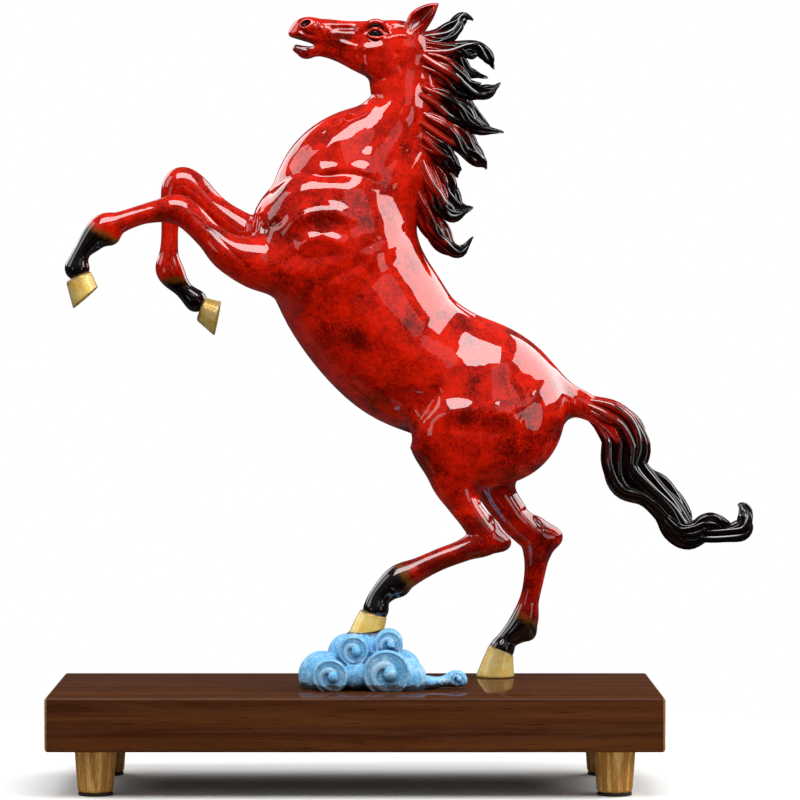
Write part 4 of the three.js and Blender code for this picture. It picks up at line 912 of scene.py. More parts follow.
class HORSE_OT_head(bpy.types.Operator):
    """Sculpt the head casting with its ears"""

    bl_idname = "horse.head"
    bl_label = "Head"

    def execute(self, context):
        cell = context.scene.horse_sculpt.head_cell / MM
        clay = sculpted([-50, -22, 368], [58, 22, 438], cell)
        details_of_head(clay)
        share = seam_field(clay, *SEAMS["head"])
        solid = np.maximum(clay.field + 0.06 * np.clip(share, 0, 1), share - 2.5)
        lacquer = material_once(red_lacquer, context.scene.horse_colours)
        casting("head_skin", HORSE_ORIGIN, clay, solid, lacquer, ["head_casting"])
        return {"FINISHED"}


class HORSE_OT_legs(bpy.types.Operator):
    """Sculpt the four leg castings"""

    bl_idname = "horse.legs"
    bl_label = "Legs"

    boxes = {
        "near_fore": ([-198, -40, 244], [-62, 2, 318]), "off_fore": ([-136, -2, 226], [-62, 42, 336]),
        "near_hind": ([-4, -46, 38], [106, 2, 126]), "off_hind": ([80, -2, 8], [140, 48, 136]),
    }

    def execute(self, context):
        cell = context.scene.horse_sculpt.leg_cell / MM
        lacquer = material_once(red_lacquer, context.scene.horse_colours)
        for key, (low, high) in self.boxes.items():
            clay = sculpted(low, high, cell)
            _, coronet, toe, _, sole, _, _ = HOOVES[key]
            down = Vector((-toe[1], toe[0])).normalized()
            if down.dot(Vector(sole) - Vector(coronet)) < 0:
                down.negate()
            x, _, z = clay.axes
            dx, dz = x[:, None] - coronet[0], z[None, :] - coronet[1]
            beyond = np.minimum(dx * down.x + dz * down.y - 1.5, 24 - np.hypot(dx, dz))
            share = seam_field(clay, *SEAMS[key])
            solid = np.maximum(clay.field + 0.06 * np.clip(share, 0, 1), share - 2.5)
            solid = np.maximum(solid, beyond[:, None, :])
            casting(f"{key}_leg", HORSE_ORIGIN, clay, solid, lacquer, [f"{CAD_NAMES[key]}_casting"], SOOT[key])
        return {"FINISHED"}


# The hooves, eyes and hair


def hoof_ring(hoof, down, scale, count=64):
    """A ring round the hoof: down is 0 at the coronet and 1 at the sole."""
    y, coronet, top_toe, top, sole, sole_toe, bottom = hoof
    centre = Vector(coronet).lerp(Vector(sole), down)
    toe = Vector(top_toe).lerp(Vector(sole_toe), down).normalized()
    half_length = scale * (top[0] + down * (bottom[0] - top[0]))
    half_width = scale * (top[1] + down * (bottom[1] - top[1]))
    ring = []
    for n in range(count):
        angle = 2 * math.pi * n / count
        reach = half_length * math.cos(angle) * (0.88 if math.cos(angle) < 0 else 1)
        ring.append(HORSE_ORIGIN + MM * Vector((
            centre.x + toe.x * reach, y + half_width * math.sin(angle), centre.y + toe.y * reach)))
    return ring


# Down the wall from inside the coronet, over the ground edge and into the sole: down, scale
HOOF_PROFILE = [
    (-0.05, 0.6), (-0.04, 0.86), (0.0, 0.94), (0.05, 0.985), (0.11, 1.0), (0.17, 0.985), (0.24, 0.985),
    (0.4, 0.99), (0.6, 0.99), (0.8, 0.995), (0.92, 1.0), (0.97, 0.995), (1.0, 0.97), (1.005, 0.93),
    (0.995, 0.86), (0.95, 0.8), (0.91, 0.7), (0.885, 0.45), (0.88, 0.1)]


# Mane: how far down each bunch the red reaches, its number of strands, and its stations
MANE = [
    (0.45, 6, [[36, 0, 408, 5, 5], [54, 0, 411, 4.8, 6], [64, 1, 418, 4.6, 5], [69, 1, 424.5, 3.2, 3.4],
               [75, 0, 422, 1, 1]]),
    (0.35, 4, [[40, -4, 411, 3, 3], [52, -5, 408, 3, 3], [62, -5, 411.5, 2.6, 2.6], [66.6, -4, 418, 1.6, 1.8],
               [68, -3, 421, 0.6, 0.8]]),
    (0.5, 6, [[42, -2, 400, 5, 6], [60, -3, 402.5, 4.8, 6], [76, -2, 405.5, 4, 5], [84.5, -1, 398, 3.6, 4],
               [88.5, 0, 391, 1, 1.2]]),
    (0.5, 4, [[44, -6, 405, 3, 3], [56, -7, 404, 3.2, 3], [66, -6, 402, 2.8, 2.8], [73, -5, 399, 1.8, 2],
              [78, -4, 401, 0.5, 0.8]]),
    (0.6, 6, [[44, 5, 400, 5, 5], [62, 6, 398, 4.4, 4], [71, 6, 390, 3.6, 3.6], [84.5, 5, 385.5, 0.9, 1]]),
    (0.55, 6, [[42, -3, 396, 7, 7], [58, -4, 388, 7, 7], [67, -3, 380, 6, 6.4], [77, -2, 375.8, 5, 5],
                [86, -1, 376.6, 3.6, 3.8], [92.3, 0, 382, 0.8, 1]]),
    (0.7, 4, [[46, -8, 398, 3, 3], [58, -9, 394.6, 3.4, 3], [66, -8, 388, 3, 3], [72, -6.5, 382, 2.4, 2.4],
              [80, -5, 381.5, 0.7, 1]]),
    (0.45, 6, [[44, 5, 382, 6, 5], [62, 6, 376, 5.4, 5], [74, 6, 366, 3.6, 4], [86, 4, 353, 0.9, 1]]),
    (0.45, 6, [[42, -3, 376, 7, 8], [58, -4, 368, 7.2, 7], [68, -3, 360, 7, 6.4], [78, -2, 353.4, 4.6, 4.8],
                [94.5, 0, 350.4, 0.8, 1]]),
    (0.4, 4, [[46, -8, 376, 3, 3], [57, -9.4, 372.6, 3.2, 3], [66, -8.6, 366, 3, 3], [73, -7, 358, 2.4, 2.4],
              [82, -5, 353.5, 0.6, 0.9]]),
    (0.5, 6, [[42, 5, 362, 6, 6], [60, 6, 353, 5.4, 5], [73, 6, 346, 3.8, 4], [80, 5, 336, 0.9, 1]]),
    (0.65, 6, [[42, -3, 358, 7, 8], [60, -4, 349, 7, 7], [70, -3, 340, 6.4, 6], [79, -2, 333, 4.8, 4.6],
                [83.5, 0, 327, 1.4, 1.6]]),
    (0.75, 4, [[45, -8, 360, 3, 3], [56, -9.6, 355, 3.4, 3], [64, -8.8, 347, 3.2, 3], [70, -7.4, 338, 2.6, 2.6],
               [76, -5, 333, 0.7, 1]]),
    (0.55, 6, [[42, -4, 345, 6, 7], [57, -5, 335, 5, 6], [63, -5, 327.5, 3.6, 4], [65, -4, 321.5, 0.9, 1]]),
    (0.5, 4, [[44, -8, 348, 3, 3], [54, -9.4, 342, 3.2, 3], [62, -8.4, 333, 2.8, 2.8], [67.4, -7, 326, 0.8, 1]]),
    (0.55, 6, [[42, 4, 334, 6, 7], [57, 5, 321, 5, 5], [61.5, 5, 311, 4.2, 4.4], [67, 4, 303.4, 2.8, 3],
               [75, 3, 302.4, 0.8, 1]]),
    (0.7, 6, [[40, -3, 330, 6, 8], [50, -4, 312, 6.2, 7], [55.5, -3, 302, 5.6, 6], [63, -2, 297.4, 4.2, 4.4],
               [74.5, 0, 302, 0.8, 1]]),
    (0.75, 4, [[42, -8, 330, 3, 3], [48, -9.4, 318, 3.2, 3], [53, -8.6, 308, 3, 3], [58, -7, 300.6, 2.4, 2.4],
               [65, -5, 299.4, 0.7, 1]]),
    (0.9, 6, [[34, 0, 314, 6, 8], [45, 0, 298, 6.6, 7], [51.5, 0, 286, 6.8, 6], [58.5, 0, 278, 5.2, 5],
              [67, 0, 275, 3.6, 3.8], [75, 0, 283.4, 0.8, 1]]),
    (0.9, 4, [[36, -8, 316, 3, 3], [42, -8.6, 306, 3.2, 3], [47.6, -7.4, 295, 3, 2.8], [53, -6, 285.6, 2.4, 2.4],
              [60, -4, 280, 0.7, 1]]),
]

# Tail: bunches that run together and part at the end: red reach, strands, twist and stations
TAIL = [
    (0.42, 7, 1.5, [[142, -1, 178, 3, 3], [150, -2, 175.6, 5, 5], [161, -3, 171, 7.4, 7], [172, -3, 164, 7, 7],
                    [178, -4, 150, 7.6, 7], [177, -5, 137, 7, 7], [188, -5, 124, 6.6, 6.4],
                    [201, -4, 111, 6.4, 6], [210, -2, 98, 6, 6], [222, -1, 94, 5, 5.4],
                    [236, -1, 94.6, 5, 5], [247, -1, 97, 6.2, 5.4], [249.6, 0, 105, 6, 5.4],
                    [246.6, 1, 111.6, 5.2, 5]]),
    (0.36, 7, -1.2, [[144, 3, 175, 3, 3], [152, 4, 171, 5, 5], [161, 4, 164.6, 7.4, 7], [168, 3, 154, 8.6, 8],
                      [168, 1, 139, 9.4, 9], [172, -1, 126, 8.6, 8], [185, -2, 119.5, 7.4, 7],
                      [197, 0, 108, 6.6, 6.6], [204, 1, 97, 7.4, 6.6], [213, 1, 91, 6.6, 6],
                      [226, 1, 95, 5, 5], [238, 1, 95.4, 4.6, 4.6], [247, 1, 100, 5, 5],
                      [248, 1, 109, 4.6, 4.6], [244.6, 1, 113, 3.6, 4]]),
    (0.38, 7, 1.8, [[144, 0, 179, 3, 3], [153, 2, 176.6, 4, 4], [166, 4, 171, 6, 7], [177, 5, 163, 6, 7],
                     [181, 5, 150, 5.6, 6.6], [180, 4, 140, 5.6, 6], [186, 3, 131, 5, 6],
                     [196, 3, 125.6, 5, 6], [205, 3, 115, 5, 5.4], [211, 2, 104, 4.4, 5],
                     [214, 1, 96, 2.6, 3]]),
    (0.0, 5, 2.2, [[198, -5, 104, 3.4, 4], [206, -6, 97.6, 4.6, 4], [215, -6, 98, 4.8, 4], [222, -5, 102, 5, 4.4],
                   [229, -3, 103, 4.6, 4], [234.4, -1, 99.6, 4, 3.6], [240, 1, 97, 3, 3], [248, 1, 97, 1, 1.6]]),
]


def bunch(bm, stations, strands, red, phase, twist=1.1, spread=0.62, taper=0.18, steps=6):
    """A bunch of hair: strands fan out of the root, wave, and run together at the tip."""
    points = through(stations, steps)
    points[:, 3:] = np.maximum(points[:, 3:], 2.2)
    run = np.gradient(points[:, :3], axis=0)
    run /= np.linalg.norm(run, axis=1, keepdims=True)
    rise = np.cross([0, 1, 0], run)
    rise /= np.linalg.norm(rise, axis=1, keepdims=True)
    across = np.cross(run, rise)
    along = np.linspace(0, 1, len(points))[:, None]
    radius, width = points[:, 3:4], points[:, 4:5]
    for n in range(strands):
        angle = 2 * np.pi * n / strands + phase + twist * along
        gather = spread * (1.25 - 0.55 * along) * np.clip((1 - along) / taper, 0, 1)
        wave = 0.24 * np.sin(2 * np.pi * (1.7 * along) + 2.4 * n + phase) * np.clip(4 * along, 0, 1)
        side = rise * radius * (gather * np.cos(angle) + wave) + across * width * gather * np.sin(angle)
        end = 1 - 0.05 * (n % 3)
        thin = np.clip((end - along) / taper, 0.0, 1) ** 0.6 * (0.5 + 0.08 * math.sin(3.1 * n + phase)) + 0.02
        rows = np.hstack([points[:, :3] + side, radius * thin + 0.12, width * thin + 0.12])
        lock(bm, rows, 4, 0.9, red, phase + n, 0.34, 1)


def lock(bm, stations, ridges, twist, red, phase, flute=0.2, steps=7):
    """A lock of hair: rounded ridges with sharp valleys run along its stations."""
    points = through(stations, steps)
    last = len(points) - 1
    angles = np.arange(ridges * 7) * (2 * np.pi / (ridges * 7))
    uneven = angles + 0.3 * np.sin(angles + phase) + 0.12 * np.sin(3 * angles + 2 * phase)
    rings, shades = [], {"root": [], "valley": []}
    for n, p in enumerate(points):
        run = Vector(points[min(n + 1, last)][:3] - points[max(n - 1, 0)][:3]).normalized()
        rise = Vector((0, 1, 0)).cross(run).normalized()
        across = run.cross(rise)
        along = n / last
        crest = np.abs(np.cos(ridges * uneven / 2 + twist * along))
        depth = 1 - flute * (1 - crest)
        middle_point = Vector(p[:3])
        rings.append([
            HORSE_ORIGIN + MM * (middle_point + rise * (p[3] * d * math.cos(a)) + across * (p[4] * d * math.sin(a)))
            for a, d in zip(angles, depth)])
        shades["root"].append(np.full(len(angles), max(0.0, 1 - along / red) if red else 0.0))
        shades["valley"].append(1 - crest)
    end = sum(rings[-1], Vector()) / len(angles)
    run = (end - sum(rings[-2], Vector()) / len(angles)).normalized()
    rings.append([end + (v - end) * 0.5 + run * MM * 0.4 for v in rings[-1]])
    for rows in shades.values():
        rows.append(rows[-1])
    sweep(bm, rings, shades)


class HORSE_OT_hooves(bpy.types.Operator):
    """Shape the four gilt hooves"""

    bl_idname = "horse.hooves"
    bl_label = "Hooves"

    def execute(self, context):
        gold = material_once(gilding, context.scene.horse_colours)
        for key, hoof in HOOVES.items():
            bm = bmesh.new()
            rings = [hoof_ring(hoof, down, scale) for down, scale in HOOF_PROFILE]
            sweep(bm, rings, {"down": [[min(max(down, 0), 1)] * 64 for down, _ in HOOF_PROFILE]})
            bmesh.ops.recalc_face_normals(bm, faces=bm.faces)
            mesh = bmesh_to_mesh(bm, f"{key}_hoof", 50)
            finished(f"{key}_hoof", mesh, gold, [f"{CAD_NAMES[key]}_hoof"])
        return {"FINISHED"}


class HORSE_OT_eyes(bpy.types.Operator):
    """Set the two glass eyes"""

    bl_idname = "horse.eyes"
    bl_label = "Eyes"

    def execute(self, context):
        glass = material_once(eye_glass)
        for side, name in ((-1, "left"), (1, "right")):
            bm = bmesh.new()
            centre = HORSE_ORIGIN + MM * Vector((EYE[0], side * EYE[1], EYE[2]))
            bmesh.ops.create_uvsphere(bm, u_segments=48, v_segments=28, radius=context.scene.horse_sculpt.eye_radius,
                                      matrix=Matrix.Translation(centre))
            finished(f"{name}_eye_bead", bmesh_to_mesh(bm, f"{name}_eye_bead"), glass,
                     [f"eye_{name}"])
        return {"FINISHED"}


class HORSE_OT_mane(bpy.types.Operator):
    """Cast the flame-shaped locks of the mane"""

    bl_idname = "horse.mane"
    bl_label = "Mane"

    def execute(self, context):
        bm = bmesh.new()
        for n, (red, strands, stations) in enumerate(MANE):
            bunch(bm, stations, strands, red, 1.7 * n)
        bmesh.ops.recalc_face_normals(bm, faces=bm.faces)
        hair = material_once(hair_lacquer, context.scene.horse_colours)
        finished("mane_locks", bmesh_to_mesh(bm, "mane_locks", 80), hair, ["mane_casting"])
        return {"FINISHED"}


class HORSE_OT_tail(bpy.types.Operator):
    """Cast the wound locks of the tail"""

    bl_idname = "horse.tail"
    bl_label = "Tail"

    def execute(self, context):
        clay = sculpted([130, -16, 146], [176, 16, 196], context.scene.horse_sculpt.leg_cell / MM)
        share = seam_field(clay, *SEAMS["tail"])
        solid = np.maximum(clay.field + 0.06 * np.clip(share, 0, 1), share - 2.5)
        lacquer = material_once(red_lacquer, context.scene.horse_colours)
        casting("dock_skin", HORSE_ORIGIN, clay, solid, lacquer, ["tail_casting"])
        bm = bmesh.new()
        for n, (red, strands, twist, stations) in enumerate(TAIL):
            bunch(bm, stations, strands, red, 2.3 * n, twist, 0.55, 0.07)
        bmesh.ops.recalc_face_normals(bm, faces=bm.faces)
        hair = material_once(hair_lacquer, context.scene.horse_colours)
        finished("tail_locks", bmesh_to_mesh(bm, "tail_locks", 80), hair, ["tail_casting"])
        return {"FINISHED"}


# Cloud lobes: x, z, radius, front y, back y from the board's middle, and the side of its curl
CLOUD_LOBES = [
    (19.5, 11, 14.6, -45, -14, -1), (32, 7, 12.6, -42, -10, 0), (-15.5, 9, 11, -44, -18, -1),
    (0.5, 9.5, 9.4, -42, -12, 0), (-1, 24.4, 9.6, -38, -14, -1), (21, 28.4, 8.8, -36, -12, -1),
    (-21, 8.6, 14.6, -34, 2, 0), (-6, 22, 11.2, -26, 6, 0), (4, 12, 15, -14, 18, 1),
    (29, 9, 12.4, -12, 16, 1), (17, 25, 9.2, -14, 10, 1),
]
CLOUD_TAIL = [[34, -26, 5, 6, 7], [46, -27, 4, 4.4, 6], [54, -27, 4.6, 3.4, 5], [63.5, -27, 6.6, 5.4, 5],
              [67.6, -27, 4.6, 2.4, 3]]


def cloud_lobe(clay, lobe, edge=2.4):
    """A round lobe across the board with eased edges."""
    x0, z0, radius, front, back, _ = lobe
    cut, x, y, z = clay.part([x0 - radius - 9, front - 9, z0 - radius - 9], [x0 + radius + 9, back + 9, z0 + radius + 9])
    out = np.hypot(x - x0, z - z0) - (radius - edge)
    deep = np.abs(y - (front + back) / 2) - ((back - front) / 2 - edge)
    away = np.hypot(np.maximum(out, 0), np.maximum(deep, 0)) + np.minimum(np.maximum(out, deep), 0) - edge
    clay.field[cut] = smooth_union(clay.field[cut], away.astype(np.float32), 0.8)


def cloud_puffs(clay, lobe):
    """Two round puffs, one behind the other, where no curl shows."""
    x0, z0, radius, front, back, _ = lobe
    half = (back - front) / 2
    for share, size in ((0.6, 1.0), (1.42, 0.95)):
        clay.muscle(OFF, [x0, front + share * half, z0], [radius * size, 0.6 * half, radius * size], 0, 1.5)


def curl(clay, lobe):
    """A flat dished face inside a thin raised rim, with a comma that winds in from the rim to a ball."""
    x0, z0, radius, front, back, side = lobe
    face = front if side < 0 else back
    cut, x, y, z = clay.part([x0 - radius, face - 5, z0 - radius], [x0 + radius, face + 5, z0 + radius])
    out = np.hypot(x - x0, z - z0) - (radius - 1.9)
    deep = np.abs(y - face) - 0.7
    dish = np.hypot(np.maximum(out, 0), np.maximum(deep, 0)) + np.minimum(np.maximum(out, deep), 0) - 0.5
    clay.field[cut] = -smooth_union(-clay.field[cut], dish.astype(np.float32), 0.5)
    comma = []
    for n in range(13):
        t = n / 12
        angle = math.radians(20 + 250 * t) * -side
        reach = radius * (0.22 + 0.5 * t)
        width = radius * (0.21 - 0.11 * t)
        comma.append([x0 + reach * math.cos(angle), face - side * 0.6, z0 + reach * math.sin(angle), width, width * 0.45])
    clay.limb(0.4, comma, 3)
    clay.muscle(OFF, [x0 + 0.16 * radius, face - side * 0.4, z0], [radius * 0.3, radius * 0.28, radius * 0.3], 0, 0.3)


class HORSE_OT_cloud(bpy.types.Operator):
    """Sculpt the enamelled cloud"""

    bl_idname = "horse.cloud"
    bl_label = "Cloud"

    def execute(self, context):
        cell = context.scene.horse_sculpt.cloud_cell / MM
        clay = Clay([-40, -50, -2], [74, 24, 44], cell)
        clay.sense = 5.0
        hoof_y, coronet, _, top, sole, _, bottom = HOOVES["near_hind"]
        across = hoof_y + (HORSE_ORIGIN.y - BOARD_TOP.y) / MM
        clay.limb(0, [[sole[0], across, 0, 22, 22], [sole[0], across, 18, 19, 19], [sole[0], across, 27, 13, 13]], 2)
        for lobe in CLOUD_LOBES:
            (cloud_lobe if lobe[5] else cloud_puffs)(clay, lobe)
        clay.limb(2, CLOUD_TAIL)
        clay.relax(0.3)
        for lobe in CLOUD_LOBES:
            if lobe[5]:
                curl(clay, lobe)
        curl(clay, (64, 6.4, 5.6, -31.4, -23, -1))
        seat = Clay([-40, -50, -2], [74, 24, 44], cell)
        seat.limb(0, [[coronet[0], across, coronet[1], top[0], top[1]],
                      [sole[0], across, sole[1], bottom[0] + 0.3, bottom[1] + 0.3]], 2)
        x, y, z = clay.axes
        seat_field = np.maximum(seat.field, sole[1] - z[None, None, :])
        clay.field = np.maximum(clay.field, -seat_field)
        solid = np.maximum(clay.field, 0.2 - z[None, None, :])
        points, quads, normals = clay.skin(solid)
        points[:, 2] = np.maximum(points[:, 2], 0.2)
        near_hoof = seat.sample(seat.field, points)
        # greyer within a few mm of the board and of the hoof's seat
        grime = np.clip(1.2 - points[:, 2] / 5.5, 0, 1) + 0.75 * np.clip(1 - near_hoof / 4, 0, 1)
        proud = 1 + clay.sample(clay.field, points - normals * 2) / 2
        mesh = cast_mesh("cloud_skin", BOARD_TOP, points, quads, normals, {
            "hollow": clay.hollow(points, normals, 2.5), "proud": np.clip(proud, 0, 1), "grime": grime})
        enamel = material_once(cloud_enamel, context.scene.horse_colours)
        finished("cloud_skin", mesh, enamel, ["cloud_casting"])
        return {"FINISHED"}


class HORSE_OT_board(bpy.types.Operator):
    """Plane and drill the walnut board"""

    bl_idname = "horse.board"
    bl_label = "Board"

    def execute(self, context):
        settings = context.scene.horse_base
        size = BOARD_HIGH - BOARD_LOW
        bm = bmesh.new()
        edge_highlight = bm.verts.layers.float.new("edge_highlight")
        bmesh.ops.create_cube(bm, size=1, matrix=Matrix.Translation((BOARD_LOW + BOARD_HIGH) / 2)
                              @ Matrix.Diagonal((*size, 1)))
        eased = bmesh.ops.bevel(bm, geom=bm.edges[:], offset=settings.edge_radius, segments=4, profile=0.5,
                                affect="EDGES", material=-1)
        # marks the middle of each eased edge, which the wood paints with a pale highlight
        for vert in eased["verts"]:
            vert[edge_highlight] = float(all(face.calc_area() < 0.01 * size.x * size.z for face in vert.link_faces))
        board = bpy.data.objects.new("walnut_plank", bmesh_to_mesh(bm, "walnut_plank"))
        context.scene.collection.objects.link(board)
        cutters = bmesh.new()
        for name in [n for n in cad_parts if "_screw_" in n]:
            low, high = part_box(name)
            shank = 0.0023
            self.bore(cutters, name, shank, BOARD_LOW.z - 0.001, high.z + 0.0003)
            if not name.startswith("foot"):
                wide = 0.0060 if name.startswith("hoof") else 0.0045
                self.bore(cutters, name, wide, BOARD_LOW.z - 0.0011, BOARD_LOW.z + settings.counterbore)
        drill = bpy.data.objects.new("drill", bmesh_to_mesh(cutters, "drill"))
        context.scene.collection.objects.link(drill)
        cut = board.modifiers.new("bores", "BOOLEAN")
        cut.operation = "DIFFERENCE"
        cut.solver = "EXACT"
        cut.use_self = True
        cut.object = drill
        drilled = bpy.data.meshes.new_from_object(board.evaluated_get(context.evaluated_depsgraph_get()))
        for spare in (board, drill):
            bpy.data.objects.remove(spare)
        drilled.materials.clear()
        drilled.shade_smooth()
        drilled.set_sharp_from_angle(angle=math.radians(35))
        wood = material_once(walnut_wood, context.scene.horse_colours)
        finished("walnut_plank", drilled, wood, ["walnut_board"])
        return {"FINISHED"}

    def bore(self, bm, screw, radius, low, high):
        here = middle(screw)
        bmesh.ops.create_cone(bm, cap_ends=True, segments=32, radius1=radius, radius2=radius, depth=high - low,
                              matrix=Matrix.Translation((here.x, here.y, (low + high) / 2)))


class HORSE_OT_feet(bpy.types.Operator):
    """Turn the brass feet and mould their rubber pads"""

    bl_idname = "horse.feet"
    bl_label = "Feet"

    def execute(self, context):
        brass = material_once(turned_brass, context.scene.horse_colours)
        rubber = material_once(dark_rubber)
        for corner in ("front_left", "front_right", "back_left", "back_right"):
            low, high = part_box(f"brass_foot_{corner}")
            bore_low, bore_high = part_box(f"foot_screw_{corner}")
            top, bottom, height = (high.x - low.x) / 2, 0.011, high.z - low.z
            head = (bore_high.x - bore_low.x) / 2
            floor = 0.0212
            profile = rounded([
                (bottom, 0, 1), (top, height - 0.0012, 0), (top, height, 1), (head / 2 + 0.0003, height, 0),
                (head / 2 + 0.0003, floor, 0), (head + 0.0005, floor, 0), (head + 0.0005, 0, 0)], 0.0022)
            bm = bmesh.new()
            centre = Vector(((low.x + high.x) / 2, (low.y + high.y) / 2, low.z))
            spun(bm, profile, centre, 64)
            finished(f"{corner}_brass_foot", bmesh_to_mesh(bm, f"{corner}_brass_foot", 30), brass,
                     [f"brass_foot_{corner}"])
            low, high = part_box(f"rubber_pad_{corner}")
            radius = min((high.x - low.x) / 2, bottom - 0.0003)
            bm = bmesh.new()
            centre = Vector(((low.x + high.x) / 2, (low.y + high.y) / 2, low.z))
            thick = high.z - low.z
            spun(bm, rounded([(0.0003, 0, 0), (radius, 0, 1), (radius, thick, 1), (0.0003, thick, 0)], 0.0006, 3),
                 centre, 48)
            bmesh.ops.holes_fill(bm, edges=[e for e in bm.edges if e.is_boundary], sides=0)
            finished(f"{corner}_rubber_pad", bmesh_to_mesh(bm, f"{corner}_rubber_pad", 40), rubber,
                     [f"rubber_pad_{corner}"])
        return {"FINISHED"}


class HORSE_OT_fixings(bpy.types.Operator):
    """Give the screws and washers their steel"""

    bl_idname = "horse.fixings"
    bl_label = "Fixings"

    def execute(self, context):
        steel = material_once(zinc_steel)
        for name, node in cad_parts.items():
            if "_screw_" in name or "_washer_" in name:
                for holder in node.material_slots:
                    holder.material = steel
        return {"FINISHED"}


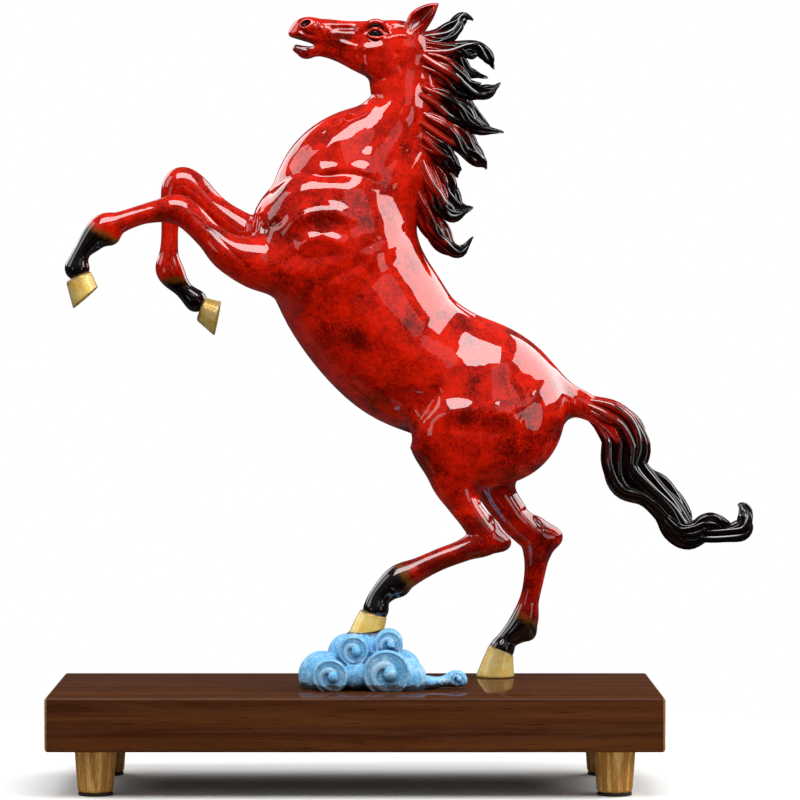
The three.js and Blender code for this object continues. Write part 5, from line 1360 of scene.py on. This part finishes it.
class HORSE_OT_stage(bpy.types.Operator):
    """Set up the floor, the lamps and the camera"""

    bl_idname = "horse.stage"
    bl_label = "Stage"

    def execute(self, context):
        settings = context.scene.horse_stage
        context.scene.view_settings.view_transform = "Standard"
        self.floor()
        self.world(context)
        # Softboxes: degrees right of the camera, degrees up, distance, width, height, brightness,
        # height of the aim and degrees of spread
        for name, right, up, distance, width, height, level, over, spread in (
                ("key_overhead", -3, 56, 1.5, 1.42, 0.97, 4.2, 0.3, 180),
                ("right_back_window", 103, 29, 1.7, 2.9, 1.15, 2.9, 0.3, 180),
                ("left_back_window", -134, 26, 1.7, 1.2, 0.9, 2.2, 0.3, 180),
                ("front_veil", 27, 24, 1.9, 0.9, 0.7, 0.24, 0.3, 180),
                ("left_veil", -82, 28, 1.8, 0.8, 1.0, 1.3, 0.3, 180),
                ("left_low", -44, 3, 1.4, 0.3, 0.6, 0.7, 0.1, 180),
                ("right_low", 47, 3, 1.4, 0.3, 0.6, 0.8, 0.1, 180)):
            turn, rise = math.radians(right), math.radians(up)
            way = Vector((math.sin(turn) * math.cos(rise), -math.cos(turn) * math.cos(rise), math.sin(rise)))
            aim = Vector((HORSE_ORIGIN.x - 0.02, HORSE_ORIGIN.y, over))
            self.softbox(name, aim + way * distance, aim, width, height, level, math.radians(spread))
        camera = bpy.data.cameras.new("photo_camera")
        camera.lens = settings.lens
        camera.sensor_width = 36
        camera.clip_end = 20
        holder = bpy.data.objects.new("photo_camera", camera)
        context.scene.collection.objects.link(holder)
        holder.location = (BOARD_TOP.x + 0.0083, BOARD_TOP.y - settings.camera_distance, settings.camera_height)
        holder.rotation_euler = (math.radians(90), 0, 0)
        camera.shift_x, camera.shift_y = settings.camera_shift
        context.scene.camera = holder
        return {"FINISHED"}

    def softbox(self, name, place, aim, width, height, level, spread):
        lamp = bpy.data.lights.new(name, "AREA")
        lamp.shape = "RECTANGLE"
        lamp.size, lamp.size_y = width, height
        lamp.energy = level * 4 * width * height
        lamp.spread = spread
        holder = bpy.data.objects.new(name, lamp)
        bpy.context.scene.collection.objects.link(holder)
        holder.location = place
        holder.rotation_euler = (aim - place).to_track_quat("-Z", "Y").to_euler()

    def floor(self):
        """White paper that runs under the horse and away behind it, over a dark studio floor."""
        bm = bmesh.new()
        bmesh.ops.create_circle(bm, cap_ends=True, segments=96, radius=6)
        mesh = bmesh_to_mesh(bm, "paper_floor")
        material, shader = blank("white_paper")
        rays = add(material, "ShaderNodeLightPath", {})
        where = add(material, "ShaderNodeSeparateXYZ", {
            0: add(material, "ShaderNodeTexCoord", {}).outputs["Object"]}).outputs["Y"]
        behind = between(material, where, -0.12, 0.1)
        shown = maths(material, "MAXIMUM", rays.outputs["Is Glossy Ray"], rays.outputs["Is Transmission Ray"])
        away = add(material, "ShaderNodeVectorMath", {
            0: add(material, "ShaderNodeTexCoord", {}).outputs["Object"]}, operation="LENGTH").outputs["Value"]
        lit = mixed(material, between(material, away, 0.23, 0.4), hex_colour("#d8d8d6"), hex_colour("#3c3c3e"))
        dark = mixed(material, shown, lit, hex_colour("#0a0a0a"))
        shown = maths(material, "MULTIPLY", maths(material, "MULTIPLY", shown, behind), 0.04)
        shown = maths(material, "MAXIMUM", rays.outputs["Is Camera Ray"], shown)
        tint = noise(material, in_millimetres(material), 400, 1)
        paper = mixed(material, tint, hex_colour("#f2f2f1"), hex_colour("#f6f6f5"))
        colour = mixed(material, shown, dark, paper)
        tree = material.node_tree
        tree.links.new(colour, shader.inputs["Base Color"])
        shader.inputs["Roughness"].default_value = 0.9
        shader.inputs["Specular IOR Level"].default_value = 0.0
        far = maths(material, "MULTIPLY", between(material, away, 0.28, 0.5), shown)
        tree.links.new(maths(material, "SUBTRACT", 1.0, far), shader.inputs["Alpha"])
        mesh.materials.append(material)
        floor = bpy.data.objects.new("paper_floor", mesh)
        bpy.context.scene.collection.objects.link(floor)

    def world(self, context):
        """A white studio behind the horse and a dim room in front of it."""
        world = bpy.data.worlds.new("studio")
        world.use_nodes = True
        world.node_tree.nodes.clear()
        rays = add(world, "ShaderNodeLightPath", {})
        way = add(world, "ShaderNodeSeparateXYZ", {0: add(world, "ShaderNodeTexCoord", {}).outputs["Generated"]})
        behind = between(world, way.outputs["Y"], 0.8, 1.0)
        mirrored = maths(world, "MAXIMUM", rays.outputs["Is Glossy Ray"], rays.outputs["Is Transmission Ray"])
        white = maths(world, "MULTIPLY", maths(world, "MULTIPLY", mirrored, behind), 0.05)
        shown = maths(world, "MAXIMUM", rays.outputs["Is Camera Ray"], white)
        fill = between(world, way.outputs["Z"], -0.4, 0.9, 0.04, 0.46)
        room = maths(world, "MULTIPLY", fill, maths(world, "MULTIPLY_ADD", mirrored, -0.8, 1.0))
        strength = maths(world, "MAXIMUM", shown, room)
        light = add(world, "ShaderNodeBackground", {"Color": (1, 1, 1, 1), "Strength": strength})
        add(world, "ShaderNodeOutputWorld", {"Surface": light.outputs[0]})
        context.scene.world = world


OPERATORS = (
    HORSE_OT_body, HORSE_OT_head, HORSE_OT_legs, HORSE_OT_hooves, HORSE_OT_eyes, HORSE_OT_mane, HORSE_OT_tail,
    HORSE_OT_cloud, HORSE_OT_board, HORSE_OT_feet, HORSE_OT_fixings, HORSE_OT_stage)


class HORSE_PT_panel(bpy.types.Panel):
    """Lists the steps that build the horse"""

    bl_idname = "HORSE_PT_panel"
    bl_label = "Rearing Horse"
    bl_space_type = "VIEW_3D"
    bl_region_type = "UI"
    bl_category = "Horse"

    def draw(self, context):
        for operator in OPERATORS:
            self.layout.operator(operator.bl_idname)


SETTINGS = {
    "horse_sculpt": HorseSculptSettings, "horse_colours": HorseColourSettings,
    "horse_stage": HorseStageSettings, "horse_base": HorseBaseSettings,
}
CLASSES = (*SETTINGS.values(), *OPERATORS, HORSE_PT_panel)


def register():
    for cls in CLASSES:
        bpy.utils.register_class(cls)
    for name, group in SETTINGS.items():
        setattr(bpy.types.Scene, name, PointerProperty(type=group))


def unregister():
    for name in SETTINGS:
        delattr(bpy.types.Scene, name)
    for cls in reversed(CLASSES):
        bpy.utils.unregister_class(cls)


def main():
    register()
    for operator in OPERATORS:
        section, name = operator.bl_idname.split(".")
        getattr(getattr(bpy.ops, section), name)()


if __name__ == "__main__":
    main()
